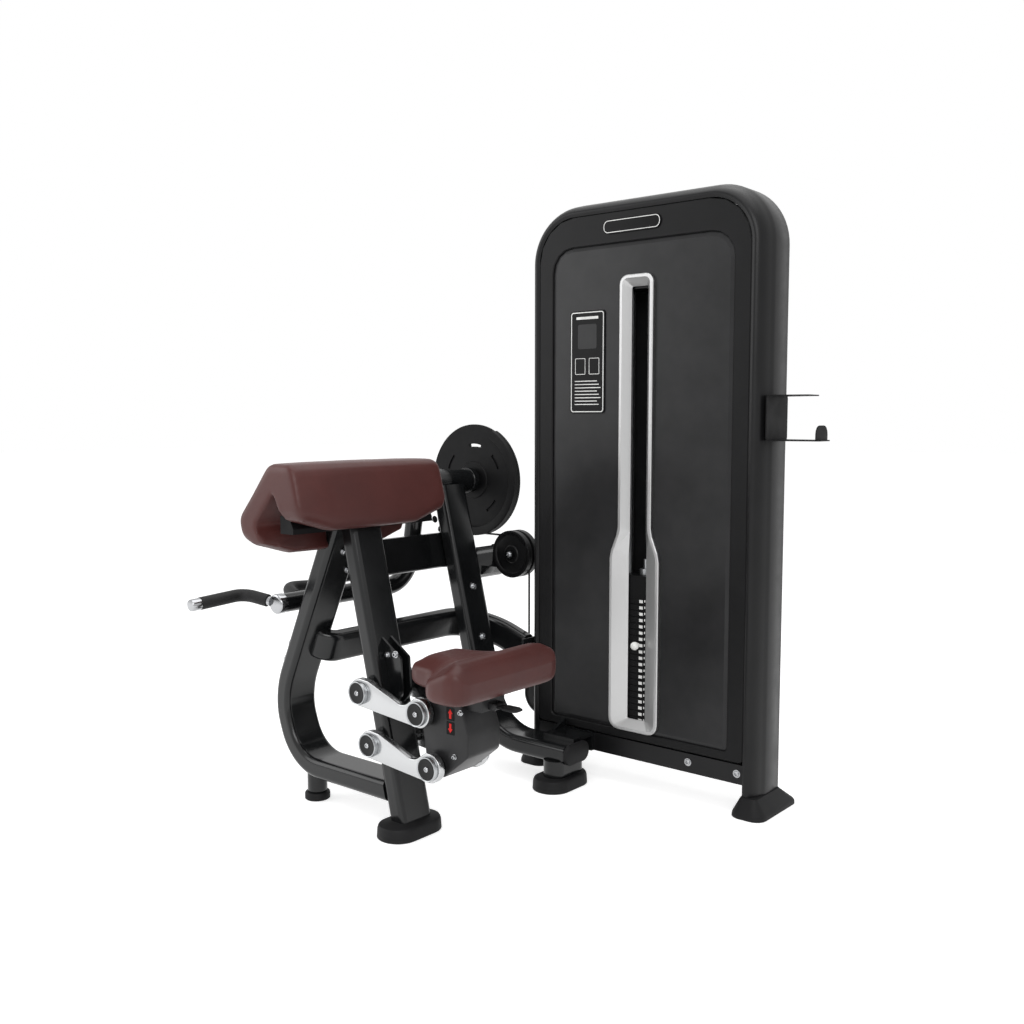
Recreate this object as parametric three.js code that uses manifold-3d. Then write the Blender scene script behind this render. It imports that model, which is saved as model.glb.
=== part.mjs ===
// A seated biceps curl machine: a weight-stack tower, an A-shaped front frame with an arm pad,
// a seat on parallel links, and a swing arm that lifts the stack through a cam and a cable.
// Millimetres, +Z up. The user sits on the +X side and faces -X; the tower stands behind, at +Y.
import * as THREE from 'three';
import { mergeVertices } from 'three/addons/utils/BufferGeometryUtils.js';
import Module from 'manifold-3d';

const wasm = await Module();
wasm.setup();

// Clearances and cutting
const TOUCH = 0.3;
const RUNNING = 0.6;
const OVERRUN = 12;
const MERGE_TOLERANCE = 1e-4;
// How far a full round end falls short of a half circle, which keeps its corners apart
const ROUND_SHY = 0.03;

// Facets: the largest angle between neighbouring facets on round stretches
const FINE_STEP = Math.PI / 12;
const TUBE_STEP = Math.PI / 8;
const BEND_STEP = Math.PI / 10;

// Frame tube: flat-oval, with full round narrow sides
const TUBE = { thickness: 50, breadth: 100 };

// Planes across the machine, measured from the tower's front face
const FRONT_FRAME_Y = -590;
const REAR_POST_Y = -89;
const CABLE_Y = 60;

const TOWER = {
  width: 729,
  height: 1584,
  depth: 130,
  tubeWidth: 39,
  cornerRadius: 156,
  tubeBottom: 24,
};
// The tower tube's section as shares of its depth and of its width, from the inner front corner.
const TOWER_SECTION_SHARES = [
  [0.03, 0],
  [0, 0.2],
  [0.03, 0.45],
  [0.11, 0.66],
  [0.23, 0.82],
  [0.34, 0.9],
  [0.4, 1],
  [1, 1],
  [1, 0],
];
const TOWER_INNER = TOWER.width / 2 - TOWER.tubeWidth;
const TOWER_INNER_TOP = TOWER.height - TOWER.tubeWidth;
const TOWER_INNER_RADIUS = TOWER.cornerRadius - TOWER.tubeWidth;

const SHOE = {
  height: 52,
  lip: 9,
  collar: 4,
  innerFlare: 28,
  outerFlare: 26,
  frontFlare: 20,
  backFlare: 67,
  footRadius: 34,
  collarRadius: 12,
};

const BOTTOM_BAR = { bottom: 80, height: 50, front: 5, depth: 92 };

const BEZEL = {
  front: 3,
  thickness: 12,
  bottom: 134,
  sideBand: 46,
  topBand: 82,
  bottomBand: 23,
  cornerRadius: 66,
  footRadius: 12,
  edge: 2.5,
};

const PANEL = { front: 5, thickness: 9, edge: 3.5, edgeWidth: 11 };

const WINDOW = {
  narrowHalfWidth: 52,
  wideHalfWidth: 77.5,
  bottom: 158,
  top: 1376,
  flareTop: 700,
  flareBottom: 636,
  cornerRadius: 24,
  footRadius: 30,
  flareRadius: 60,
  rim: 9,
  rimEdge: 2.2,
  slotHalfWidth: 25,
  slotFootHalfWidth: 28,
  slotRadius: 4,
  slotEndInset: 30,
  front: -6,
  back: 18,
};

const REAR_PANEL = {
  inset: 8,
  thickness: 3,
  ribDepth: 5,
  ribHalfWidth: 120,
  ribRadius: 30,
  ribEndInset: 260,
};

const BADGE = { width: 180, height: 38, thickness: 3, centreX: -20, centreZ: 1506 };
const PLACARD = { width: 115, height: 277, thickness: 3, centreX: -160, centreZ: 1153, radius: 9 };

const HOLDER = {
  sheet: 3,
  bottom: 946,
  top: 1058,
  front: 14,
  back: 128,
  upperReach: 98,
  lowerReach: 128,
  tabWidth: 64,
  tabHeight: 38,
  cornerRadius: 8,
};

const STACK = {
  platePitch: 17.1,
  groove: 1.4,
  grooveDepth: 4,
  liftedPlates: 8,
  restingPlates: 12,
  halfWidth: 92,
  front: 20.5,
  topPlateHeight: 60,
  headBottom: 520,
};
const STACK_DEPTH = 2 * (CABLE_Y - STACK.front);
const STACK_BOTTOM = STACK.headBottom - STACK.platePitch * (STACK.liftedPlates + STACK.restingPlates);
const LIFTED_BOTTOM = STACK.headBottom - STACK.platePitch * STACK.liftedPlates;

const GUIDE_ROD = { radius: 12.5, halfSpacing: 58 };
const BUMPER = { halfWidth: 84, depth: 58 };
const SELECTOR = { rodRadius: 11, collarRadius: 18, collarHeight: 16, eyeRadius: 8, eyeHeight: 26 };
const PIN = { radius: 5, knobRadius: 11.5, knobY: 5, stemRadius: 6.5 };

const CABLE = { radius: 3, facetStep: Math.PI / 4, bendStep: Math.PI / 9 };
const TOP_BAR = { height: 50, depth: 74, drop: 64, cableHoleRadius: 9 };
const FORK = { width: 46, thickness: 6, cheekGap: 2, radius: 20 };

// Pulleys: groove is the radius of the cable's centre line
const SMALL_PULLEY = { groove: 52, outer: 70, thickness: 48, bore: 9 };
const BOTTOM_PULLEY = { groove: 50, outer: 58, thickness: 24, bore: 8, axleReach: 32 };
const TOP_PULLEY = { groove: 45, outer: 53, thickness: 22, bore: 8 };
const PULLEY_GROOVE_HALF_WIDTH = 5;

// Where the cable falls outside the tower, and the bottom pulley's height
const CABLE_DROP_X = -408;
const BOTTOM_PULLEY_Z = 190;
const TOP_CABLE_Z = 1500;

const PIVOT = { x: -622, z: 814 };
const HOUSING = {
  radius: 34,
  front: -128,
  collarRadius: 40,
  collarBack: -84,
  back: 18,
  flangeRadius: 38,
  flangeBack: 40,
};
const SHAFT = { radius: 18, collar: 26, collarLength: 12 };
const CAM = {
  webRadius: 169,
  webThickness: 10,
  trackRadius: 162,
  rimRadius: 169.5,
  rimInner: 142,
  rimThickness: 30,
  rimFrom: 62,
  rimTo: -100,
  hubRadius: 56,
  hubThickness: 20,
  slotRadius: 106,
  slotHalfWidth: 6,
  slotHalfAngle: 13,
  slotAngles: [87, 33, -47, -105, 150],
};

const ARM = {
  radius: 25,
  y: -185,
  elbowX: -671,
  elbowZ: 520,
  elbowRadius: 75,
  end: -641,
  bossRadius: 40,
  bossLength: 50,
  capLength: 24,
  capRadius: 26.5,
  capEdge: 3,
};
// A grip bar leaves the arm sideways, bends, and runs along Y away from the grips' middle.
const GRIP = {
  barRadius: 12.5,
  rubberRadius: 16.5,
  outward: 100,
  bendRadius: 45,
  length: 164,
  rise: 20,
  drop: 10,
  middleY: -618,
  rootOffset: 34,
  bendOffset: 70,
  rubberStart: 4,
  tipLength: 28,
  tipRadius: 15.5,
};

const FRONT_POST = { footX: -254, lean: 0.2403, footZ: 33, top: 733 };
// The curved leg's centre line from the post outwards and up, each corner with its bend radius.
const LEG_Z = 98;
const LEG_LINE = [
  { x: -637, z: LEG_Z, r: 128 },
  { x: -688, z: 232, r: 150 },
  { x: -682, z: 303, r: 200 },
  { x: -474, z: 752 },
];
const ROUND_LEG = { x: -603, radius: 26, footRadius: 33, footHeight: 20 };
const REAR_POST = { topX: -593, topZ: 800, lean: 0.2485, bottomZ: 96, endX: -130, bendRadius: 150 };
const UPPER_TUBE = { x: -590, z: 619, bendRadius: 60, bendY: -152 };
const LOWER_TUBE = {
  breadth: 82,
  thickness: 42,
  x: -578,
  z: 404,
  slope: 20,
  bendRadius: 142,
  endY: 14,
  legReach: 50,
  legBendY: -575,
  legBendRadius: 40,
};
const END_PLATE = { thickness: 8, width: 62, height: 214, radius: 10 };
const TOWER_PLATE = { thickness: 8, front: -20, back: 94, height: 150 };

const OVAL_FOOT = { halfWidth: 54, halfLength: 88, height: 33, taper: 5, edge: 4, forward: 13 };
const SPIGOT = { halfWidth: 32, halfLength: 66 };
const REAR_FOOT_X = -168;
const END_CAP = { thickness: 12, lip: 3 };
const BASE_BRACKET = { left: -236, right: -132, thickness: 10, gussetHeight: 34 };

const PULLEY_ARM = {
  x: -559,
  z: 570,
  breadth: 94,
  thickness: 46,
  cheek: 8,
  front: -54,
  bossRadius: 30,
  axleHead: 14,
  headLength: 7,
};

const ARM_PAD = {
  front: -850,
  back: -362,
  edge: 15,
  crown: 3,
  cornerRise: 50,
  cornerReach: 110,
  middleZ: 790,
  lowX: -470,
  stations: 5,
  segments: 3,
};
// The arm pad's end section without its hollow: the ridge, the long upper-arm slope, the far
// slab's foot, the chest slab's foot and the ridge's other side. Each corner is x, z and a
// rounding radius; rise is how far it lifts towards the ends, outer marks what the crown pushes out.
const ARM_PAD_SECTION = [
  { x: -455, z: 896, r: 32, outer: true },
  { x: -568, z: 766, r: 30, outer: true },
  { x: -562, z: 716, r: 30, outer: true },
  { x: -522, z: 676, r: 24, outer: true, rise: 1 },
  { x: -478, z: 686, r: 12, rise: 1 },
  { x: -400, z: 742, r: 4, rise: 1 },
  { x: -334, z: 742, r: 20, outer: true, rise: 1 },
  { x: -366, z: 896, r: 30, outer: true },
];
// The hollow between the slabs, from the chest slab's inner foot over the apex and down the far slab.
const PAD_HOLLOW = [
  { x: -392, z: 746, r: 0 },
  { x: -437, z: 832, r: 6 },
  { x: -506, z: 754, r: 20 },
  { x: -478, z: 660, r: 0 },
  { x: -392, z: 660, r: 0 },
];
const PAD_HOLLOW_RUN = PAD_HOLLOW[0].x - PAD_HOLLOW[1].x;
const PAD_HOLLOW_RISE = PAD_HOLLOW[1].z - PAD_HOLLOW[0].z;
const PAD_BRACKET = {
  front: -825,
  back: -367,
  width: 46,
  height: 42,
  thickness: 8,
};

const LINK = {
  upperX: -341,
  upperZ: 343,
  lowerX: -307,
  lowerZ: 221,
  runX: 197,
  runZ: -17,
  planeOffset: 75,
  thickness: 18,
  bossRadius: 34,
  pinRadius: 9,
  barrelRadius: 26,
  capRadius: 29,
  capThickness: 11,
};
// The scoop in a link's upper edge: share of the link's length, of the boss radius and a rounding.
const LINK_SCOOP_SHARES = [
  [0.93, 1, 0.4],
  [0.74, 0.08, 1],
  [0.14, 1, 0.8],
];
const CARRIAGE = { halfDepth: 56, edge: 4, boxLeft: -128, boxRight: 12, boxBottom: 340, boxHalfDepth: 40 };
// The carriage's side outline, each corner as x, z and a rounding radius.
const CARRIAGE_OUTLINE = [
  { x: -168, z: 352, r: 14 },
  { x: -38, z: 360, r: 8 },
  { x: -14, z: 290, r: 60 },
  { x: -16, z: 240, r: 18 },
  { x: -98, z: 174, r: 16 },
  { x: -146, z: 214, r: 20 },
];
const SEAT = {
  bottom: 391,
  side: 444,
  edge: 16,
  crown: 16,
  rearRise: 28,
  riseFrom: -30,
  riseTo: 40,
  domeShares: [
    [1.2, 0.6],
    [2.4, 1],
  ],
  segments: 3,
};
// Half of the seat's plan from the nose to the rear: x, distance from the middle, rounding radius.
const SEAT_PLAN = [
  { x: -190, z: 82, r: 52 },
  { x: -78, z: 98, r: 60 },
  { x: -34, z: 180, r: 48 },
  { x: 71, z: 184, r: 40 },
];
const LEVER = {
  rootX: 26,
  rootZ: 356,
  rootRadius: 8,
  halfWidth: 11,
  ear: 5,
  pinRadius: 3,
  reach: 62,
  stem: 5,
};
const PADDLE = { length: 44, halfWidth: 15, thickness: 8 };
const SEAT_BRACKET = {
  thickness: 6,
  width: 34,
  bottom: 300,
  top: 462,
  reach: 52,
  footShare: 0.12,
  headShare: 0.66,
  faceShare: 0.7,
};

const FINISH = {
  frame: { color: '#0c0c0d', roughness: 0.16, metalness: 0.2 },
  tower: { color: '#2b2c2e', roughness: 0.42, metalness: 0.3 },
  bezel: { color: '#17181a', roughness: 0.5, metalness: 0.1 },
  panel: { color: '#303132', roughness: 0.45, metalness: 0.1 },
  silver: { color: '#c4c6c8', roughness: 0.3, metalness: 0.7 },
  polished: { color: '#d8dadc', roughness: 0.16, metalness: 1 },
  chrome: { color: '#e6e8ea', roughness: 0.06, metalness: 1 },
  steel: { color: '#8d9093', roughness: 0.35, metalness: 0.9 },
  plate: { color: '#1b1c1d', roughness: 0.5, metalness: 0.5 },
  rubber: { color: '#191a1b', roughness: 0.8, metalness: 0 },
  grip: { color: '#3a3a3c', roughness: 0.75, metalness: 0 },
  leather: { color: '#4c2b29', roughness: 0.5, metalness: 0 },
  cable: { color: '#141415', roughness: 0.5, metalness: 0 },
  sign: { color: '#101011', roughness: 0.3, metalness: 0 },
  pulley: { color: '#161718', roughness: 0.35, metalness: 0 },
  ball: { color: '#eeeff0', roughness: 0.3, metalness: 0 },
};

// A mesh as a solid for joining and cutting, and a solid back as a geometry.
function toSolid(geometry) {
  const bare = geometry.clone();
  bare.deleteAttribute('normal');
  bare.deleteAttribute('uv');
  const merged = mergeVertices(bare, MERGE_TOLERANCE);
  const vertProperties = new Float32Array(merged.getAttribute('position').array);
  const triVerts = new Uint32Array(merged.index.array);
  return new wasm.Manifold(new wasm.Mesh({ numProp: 3, vertProperties, triVerts }));
}

function toGeometry(solid) {
  const { vertProperties, triVerts } = solid.getMesh();
  const geometry = new THREE.BufferGeometry();
  geometry.setAttribute('position', new THREE.BufferAttribute(vertProperties, 3));
  geometry.setIndex(new THREE.BufferAttribute(triVerts, 1));
  geometry.computeVertexNormals();
  return geometry;
}

function join(...geometries) {
  return toGeometry(geometries.map(toSolid).reduce((sum, solid) => sum.add(solid)));
}

function cut(geometry, ...tools) {
  return toGeometry(tools.map(toSolid).reduce((rest, tool) => rest.subtract(tool), toSolid(geometry)));
}

function common(geometry, other) {
  return toGeometry(toSolid(geometry).intersect(toSolid(other)));
}

// An outline through corners { x, z, r }, each rounded by its own radius. A given number of
// segments per corner makes outlines with equal point counts, which a loft needs.
function roundedOutline(corners, step = TUBE_STEP, segments = 0) {
  const points = [];
  corners.forEach((corner, i) => {
    const before = corners[(i + corners.length - 1) % corners.length];
    const after = corners[(i + 1) % corners.length];
    const here = new THREE.Vector2(corner.x, corner.z);
    const back = new THREE.Vector2(before.x, before.z).sub(here).normalize();
    const ahead = new THREE.Vector2(after.x, after.z).sub(here).normalize();
    const opening = Math.acos(THREE.MathUtils.clamp(back.dot(ahead), -1, 1));
    const turn = Math.PI - opening;
    if (!corner.r) {
      points.push(here);
      return;
    }
    const reach = corner.r / Math.tan(opening / 2);
    const inward = back.clone().add(ahead).normalize();
    const centre = inward.multiplyScalar(corner.r / Math.sin(opening / 2)).add(here);
    const start = back.clone().multiplyScalar(reach).add(here).sub(centre);
    const side = Math.sign(back.cross(ahead)) || 1;
    const count = segments || Math.max(1, Math.ceil(turn / step));
    for (let k = 0; k <= count; k += 1) {
      points.push(start.clone().rotateAround(new THREE.Vector2(), (-side * turn * k) / count).add(centre));
    }
  });
  return points;
}

function roundedBox(width, height, radius, x = 0, z = 0) {
  return [
    { x: x - width / 2, z: z - height / 2, r: radius },
    { x: x + width / 2, z: z - height / 2, r: radius },
    { x: x + width / 2, z: z + height / 2, r: radius },
    { x: x - width / 2, z: z + height / 2, r: radius },
  ];
}

// The flat-oval section, breadth along x and thickness along y.
function flatOval(breadth = TUBE.breadth, thickness = TUBE.thickness) {
  return new THREE.Shape(roundedOutline(roundedBox(breadth, thickness, thickness / 2 - ROUND_SHY)));
}

function roundSection(radius, step = TUBE_STEP) {
  const count = Math.ceil((2 * Math.PI) / step);
  const points = [];
  for (let k = 0; k < count; k += 1) {
    const angle = (2 * Math.PI * k) / count;
    points.push(new THREE.Vector2(radius * Math.cos(angle), radius * Math.sin(angle)));
  }
  return new THREE.Shape(points);
}

// A bent centre line in the XY plane: straights joined by round bends. Each station is one section.
class BentPath extends THREE.Curve {
  constructor(corners, step = BEND_STEP) {
    super();
    this.stations = [];
    const place = (point, tangent) => {
      this.stations.push({
        point: new THREE.Vector3(point.x, point.y, 0),
        tangent: new THREE.Vector3(tangent.x, tangent.y, 0).normalize(),
      });
    };
    corners.forEach((corner, i) => {
      const here = new THREE.Vector2(corner.x, corner.z);
      const back = i > 0 ? new THREE.Vector2(corners[i - 1].x, corners[i - 1].z) : null;
      const ahead = i < corners.length - 1 ? new THREE.Vector2(corners[i + 1].x, corners[i + 1].z) : null;
      if (!back || !ahead) {
        place(here, back ? here.clone().sub(back) : ahead.clone().sub(here));
        return;
      }
      const arriving = here.clone().sub(back).normalize();
      const leaving = ahead.clone().sub(here).normalize();
      const turn = Math.atan2(arriving.cross(leaving), arriving.dot(leaving));
      const reach = corner.r * Math.tan(Math.abs(turn) / 2);
      const inward = new THREE.Vector2(-arriving.y, arriving.x).multiplyScalar(Math.sign(turn) * corner.r);
      const start = here.clone().addScaledVector(arriving, -reach);
      const centre = start.clone().add(inward);
      const count = Math.max(2, Math.ceil(Math.abs(turn) / step));
      for (let k = 0; k <= count; k += 1) {
        const angle = (turn * k) / count;
        const tangent = arriving.clone().rotateAround(new THREE.Vector2(), angle);
        place(start.clone().rotateAround(centre, angle), tangent);
      }
    });
  }

  stationAt(u) {
    return this.stations[Math.round(u * (this.stations.length - 1))];
  }

  getPointAt(u, target = new THREE.Vector3()) {
    return target.copy(this.stationAt(u).point);
  }

  getTangentAt(u, target = new THREE.Vector3()) {
    return target.copy(this.stationAt(u).tangent);
  }
}

// A tube along a bent path. Section x stands square to the path's plane, section y lies in it.
function bentTube(section, corners, step = BEND_STEP) {
  const path = new BentPath(corners, step);
  return new THREE.ExtrudeGeometry(section, {
    steps: path.stations.length - 1,
    extrudePath: path,
    bevelEnabled: false,
  });
}

// Turns a geometry made in the XY plane upright into the XZ plane at the given depth.
function upright(geometry, y = 0) {
  return geometry.rotateX(Math.PI / 2).translate(0, y, 0);
}

function bevelled(shape, depth, bevel, bevelWidth = bevel) {
  const options = { depth: depth - 2 * bevel, bevelEnabled: bevel > 0, bevelSegments: 1 };
  options.bevelThickness = bevel;
  options.bevelSize = bevelWidth;
  options.bevelOffset = -bevelWidth;
  return new THREE.ExtrudeGeometry(shape, options).translate(0, 0, bevel);
}

// Outline in X and Z, thickness along Y.
function slabY(outline, from, to, bevel = 0, bevelWidth = bevel) {
  const shape = Array.isArray(outline) ? new THREE.Shape(outline) : outline;
  return upright(bevelled(shape, to - from, bevel, bevelWidth), to);
}

// Outline in Y and Z, thickness along X.
function slabX(outline, from, to, bevel = 0) {
  const turn = new THREE.Matrix4().makeBasis(
    new THREE.Vector3(0, 1, 0),
    new THREE.Vector3(0, 0, 1),
    new THREE.Vector3(1, 0, 0),
  );
  return bevelled(new THREE.Shape(outline), to - from, bevel).applyMatrix4(turn).translate(from, 0, 0);
}

// Outline in X and Y, thickness along Z.
function slabZ(outline, from, to, bevel = 0, bevelWidth = bevel) {
  return bevelled(new THREE.Shape(outline), to - from, bevel, bevelWidth).translate(0, 0, from);
}

function block(x, y, z) {
  const size = [x[1] - x[0], y[1] - y[0], z[1] - z[0]];
  return new THREE.BoxGeometry(...size).translate((x[0] + x[1]) / 2, (y[0] + y[1]) / 2, (z[0] + z[1]) / 2);
}

function facets(step) {
  return Math.ceil((2 * Math.PI) / step);
}

function rodY(radius, x, z, from, to, step = TUBE_STEP) {
  const rod = new THREE.CylinderGeometry(radius, radius, to - from, facets(step));
  return rod.translate(x, (from + to) / 2, z);
}

function rodZ(radius, x, y, from, to, step = TUBE_STEP) {
  return new THREE.CylinderGeometry(radius, radius, to - from, facets(step))
    .rotateX(Math.PI / 2)
    .translate(x, y, (from + to) / 2);
}

// A wheel turned about the Y axis from [radius, y] pairs, listed from the inner front round the outside.
function turned(profile, step = FINE_STEP) {
  const points = profile.map(([radius, y]) => new THREE.Vector2(radius, y));
  return new THREE.LatheGeometry([...points, points[0].clone()], facets(step));
}

// A closed skin over rings of equal length, with both end rings capped.
function loft(rings) {
  const count = rings[0].length;
  const positions = rings.flat().flatMap((p) => [p.x, p.y, p.z]);
  const index = [];
  for (let i = 0; i < rings.length - 1; i += 1) {
    for (let j = 0; j < count; j += 1) {
      const a = i * count + j;
      const b = i * count + ((j + 1) % count);
      index.push(a, b, b + count, a, b + count, a + count);
    }
  }
  const cap = (ring, offset, flip) => {
    const normal = new THREE.Vector3();
    ring.forEach((p, j) => normal.add(p.clone().cross(ring[(j + 1) % count])));
    const frame = new THREE.Quaternion().setFromUnitVectors(normal.normalize(), new THREE.Vector3(0, 0, 1));
    const flat = ring.map((p) => p.clone().applyQuaternion(frame)).map((p) => new THREE.Vector2(p.x, p.y));
    THREE.ShapeUtils.triangulateShape(flat, []).forEach(([a, b, c]) => {
      index.push(offset + a, offset + (flip ? c : b), offset + (flip ? b : c));
    });
  };
  cap(rings[0], 0, true);
  cap(rings[rings.length - 1], (rings.length - 1) * count, false);
  return faceOut(positions, index);
}

// A closed skin from points and triangles, turned over if its faces point in.
function faceOut(positions, index) {
  const corner = (i) => new THREE.Vector3().fromArray(positions, 3 * index[i]);
  let volume = 0;
  for (let i = 0; i < index.length; i += 3) {
    volume += corner(i).dot(corner(i + 1).cross(corner(i + 2)));
  }
  const geometry = new THREE.BufferGeometry();
  geometry.setAttribute('position', new THREE.Float32BufferAttribute(positions, 3));
  geometry.setIndex(volume < 0 ? index.reverse() : index);
  geometry.computeVertexNormals();
  return geometry;
}

const machine = new THREE.Group();

function add(parent, name, geometry, finish) {
  const mesh = new THREE.Mesh(geometry, new THREE.MeshStandardMaterial(FINISH[finish]));
  mesh.name = name;
  parent.add(mesh);
  return mesh;
}

// Tower

const tower = new THREE.Group();
machine.add(tower);

function towerSection(margin = 0) {
  const points = TOWER_SECTION_SHARES.map(([depthShare, widthShare]) => {
    const deep = depthShare * (TOWER.depth + 2 * margin) - margin;
    const wide = widthShare * (TOWER.tubeWidth + 2 * margin) - margin;
    return new THREE.Vector2(deep, wide);
  });
  return new THREE.Shape(points);
}

// The rounded-top outline inside the tower tube, held back by a margin.
function archOutline(margin, bottom, footRadius) {
  const x = TOWER_INNER - margin;
  const top = TOWER_INNER_TOP - margin;
  const radius = TOWER_INNER_RADIUS - margin;
  return roundedOutline([
    { x: -x, z: bottom, r: footRadius },
    { x, z: bottom, r: footRadius },
    { x, z: top, r: radius },
    { x: -x, z: top, r: radius },
  ]);
}

function towerTube() {
  const line = [
    { x: -TOWER_INNER, z: TOWER.tubeBottom },
    { x: -TOWER_INNER, z: TOWER_INNER_TOP, r: TOWER_INNER_RADIUS },
    { x: TOWER_INNER, z: TOWER_INNER_TOP, r: TOWER_INNER_RADIUS },
    { x: TOWER_INNER, z: TOWER.tubeBottom },
  ];
  const room = BOTTOM_PULLEY.outer + OVERRUN / 2;
  const slot = block(
    [-TOWER.width / 2 - OVERRUN, -TOWER_INNER + OVERRUN],
    [CABLE_Y - BOTTOM_PULLEY.thickness / 2 - RUNNING, CABLE_Y + BOTTOM_PULLEY.thickness / 2 + RUNNING],
    [BOTTOM_PULLEY_Z - room, BOTTOM_PULLEY_Z + room],
  );
  const reach = [CABLE_Y - BOTTOM_PULLEY.axleReach, CABLE_Y + BOTTOM_PULLEY.axleReach];
  const axle = rodY(BOTTOM_PULLEY.bore - RUNNING, bottomPulleyX(), BOTTOM_PULLEY_Z, ...reach);
  return join(cut(upright(bentTube(towerSection(), line, TUBE_STEP)), slot), axle);
}

function bottomPulleyX() {
  return CABLE_DROP_X + BOTTOM_PULLEY.groove;
}

function shoe() {
  const ring = (z, radius, inner, outer, front, back) =>
    roundedOutline([
      { x: TOWER_INNER - inner, z: -front, r: radius },
      { x: TOWER.width / 2 + outer, z: -front, r: radius },
      { x: TOWER.width / 2 + outer, z: TOWER.depth + back, r: radius },
      { x: TOWER_INNER - inner, z: TOWER.depth + back, r: radius },
    ]).map((p) => new THREE.Vector3(p.x, p.y, z));
  const { innerFlare, outerFlare, frontFlare, backFlare, collar, footRadius, collarRadius } = SHOE;
  const body = loft([
    ring(0, footRadius, innerFlare, outerFlare, frontFlare, backFlare),
    ring(SHOE.lip, footRadius, innerFlare, outerFlare, frontFlare, backFlare),
    ring(SHOE.height, collarRadius, collar, collar, collar, collar),
  ]);
  const options = { depth: SHOE.height, bevelEnabled: false };
  const pocket = new THREE.ExtrudeGeometry(towerSection(TOUCH), options);
  const turn = new THREE.Matrix4().makeBasis(
    new THREE.Vector3(0, 1, 0),
    new THREE.Vector3(1, 0, 0),
    new THREE.Vector3(0, 0, -1),
  );
  pocket.applyMatrix4(turn).translate(TOWER_INNER, 0, TOWER.tubeBottom - TOUCH + SHOE.height);
  return cut(body, pocket);
}

function bottomBar() {
  const { bottom, height, front, depth } = BOTTOM_BAR;
  const x = TOWER_INNER - TOUCH;
  return block([-x, x], [front, front + depth], [bottom, bottom + height]);
}

// The opening of the bezel, which the front panel fills.
function panelOutline(margin) {
  const x = TOWER_INNER - BEZEL.sideBand - margin;
  const top = TOWER_INNER_TOP - BEZEL.topBand - margin;
  const bottom = BEZEL.bottom + BEZEL.bottomBand + margin;
  return roundedOutline([
    { x: -x, z: bottom, r: BEZEL.footRadius },
    { x, z: bottom, r: BEZEL.footRadius },
    { x, z: top, r: BEZEL.cornerRadius },
    { x: -x, z: top, r: BEZEL.cornerRadius },
  ]);
}

function frontBezel() {
  const shape = new THREE.Shape(archOutline(TOUCH, BEZEL.bottom, BEZEL.footRadius));
  shape.holes.push(new THREE.Path(panelOutline(0)));
  return slabY(shape, BEZEL.front, BEZEL.front + BEZEL.thickness, BEZEL.edge);
}

// A tall outline with a wide foot and a narrow upper part, its flare rounded.
function funnelOutline({ narrow, wide, bottom, top, headRadius, footRadius }, segments = 0) {
  const half = [
    { x: wide, z: bottom, r: footRadius },
    { x: wide, z: WINDOW.flareBottom, r: WINDOW.flareRadius },
    { x: narrow, z: WINDOW.flareTop, r: WINDOW.flareRadius },
    { x: narrow, z: top, r: headRadius },
  ];
  const other = half.map((corner) => ({ ...corner, x: -corner.x })).reverse();
  return roundedOutline([...half, ...other], TUBE_STEP, segments);
}

// The window frame's outline, held in by a margin.
function windowOutline(margin, segments) {
  return funnelOutline(
    {
      narrow: WINDOW.narrowHalfWidth - margin,
      wide: WINDOW.wideHalfWidth - margin,
      bottom: WINDOW.bottom + margin,
      top: WINDOW.top - margin,
      headRadius: WINDOW.cornerRadius - margin,
      footRadius: WINDOW.footRadius - margin,
    },
    segments,
  );
}

function windowFrame() {
  const { rim, rimEdge, front, back } = WINDOW;
  const segments = 3;
  const slot = {
    narrow: WINDOW.slotHalfWidth,
    wide: WINDOW.slotFootHalfWidth,
    bottom: WINDOW.bottom + WINDOW.slotEndInset,
    top: WINDOW.top - WINDOW.slotEndInset,
    headRadius: WINDOW.slotRadius,
    footRadius: WINDOW.slotRadius,
  };
  const ring = (outline, y) => outline.map((p) => new THREE.Vector3(p.x, y, p.y));
  const funnel = loft([
    ring(funnelOutline(slot, segments), back + OVERRUN),
    ring(funnelOutline(slot, segments), back - rim / 3),
    ring(windowOutline(rim, segments), front),
    ring(windowOutline(rim, segments), front - OVERRUN),
  ]);
  return cut(slabY(windowOutline(0), front, back, rimEdge), funnel);
}

function frontPanel() {
  const back = PANEL.front + PANEL.thickness;
  const plate = slabY(panelOutline(TOUCH), PANEL.front, back, PANEL.edge, PANEL.edgeWidth);
  return cut(plate, slabY(windowOutline(-TOUCH), PANEL.front - OVERRUN, back + OVERRUN));
}

function rearPanel() {
  const { inset, thickness, ribDepth, ribHalfWidth, ribRadius, ribEndInset } = REAR_PANEL;
  const back = TOWER.depth - inset;
  const sheet = slabY(archOutline(TOUCH, BEZEL.bottom, BEZEL.footRadius), back - thickness, back);
  const height = TOWER_INNER_TOP - BEZEL.bottom - 2 * ribEndInset;
  const middle = BEZEL.bottom + ribEndInset + height / 2;
  const rib = roundedOutline(roundedBox(2 * ribHalfWidth, height, ribRadius, 0, middle));
  return join(sheet, slabY(rib, back - thickness / 2, back + ribDepth, thickness / 2));
}

function signPlate({ width, height, thickness, centreX, centreZ, radius = height / 2 - TOUCH }, face) {
  const outline = roundedOutline(roundedBox(width, height, radius, centreX, centreZ));
  return slabY(outline, face - TOUCH - thickness, face - TOUCH);
}

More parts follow.
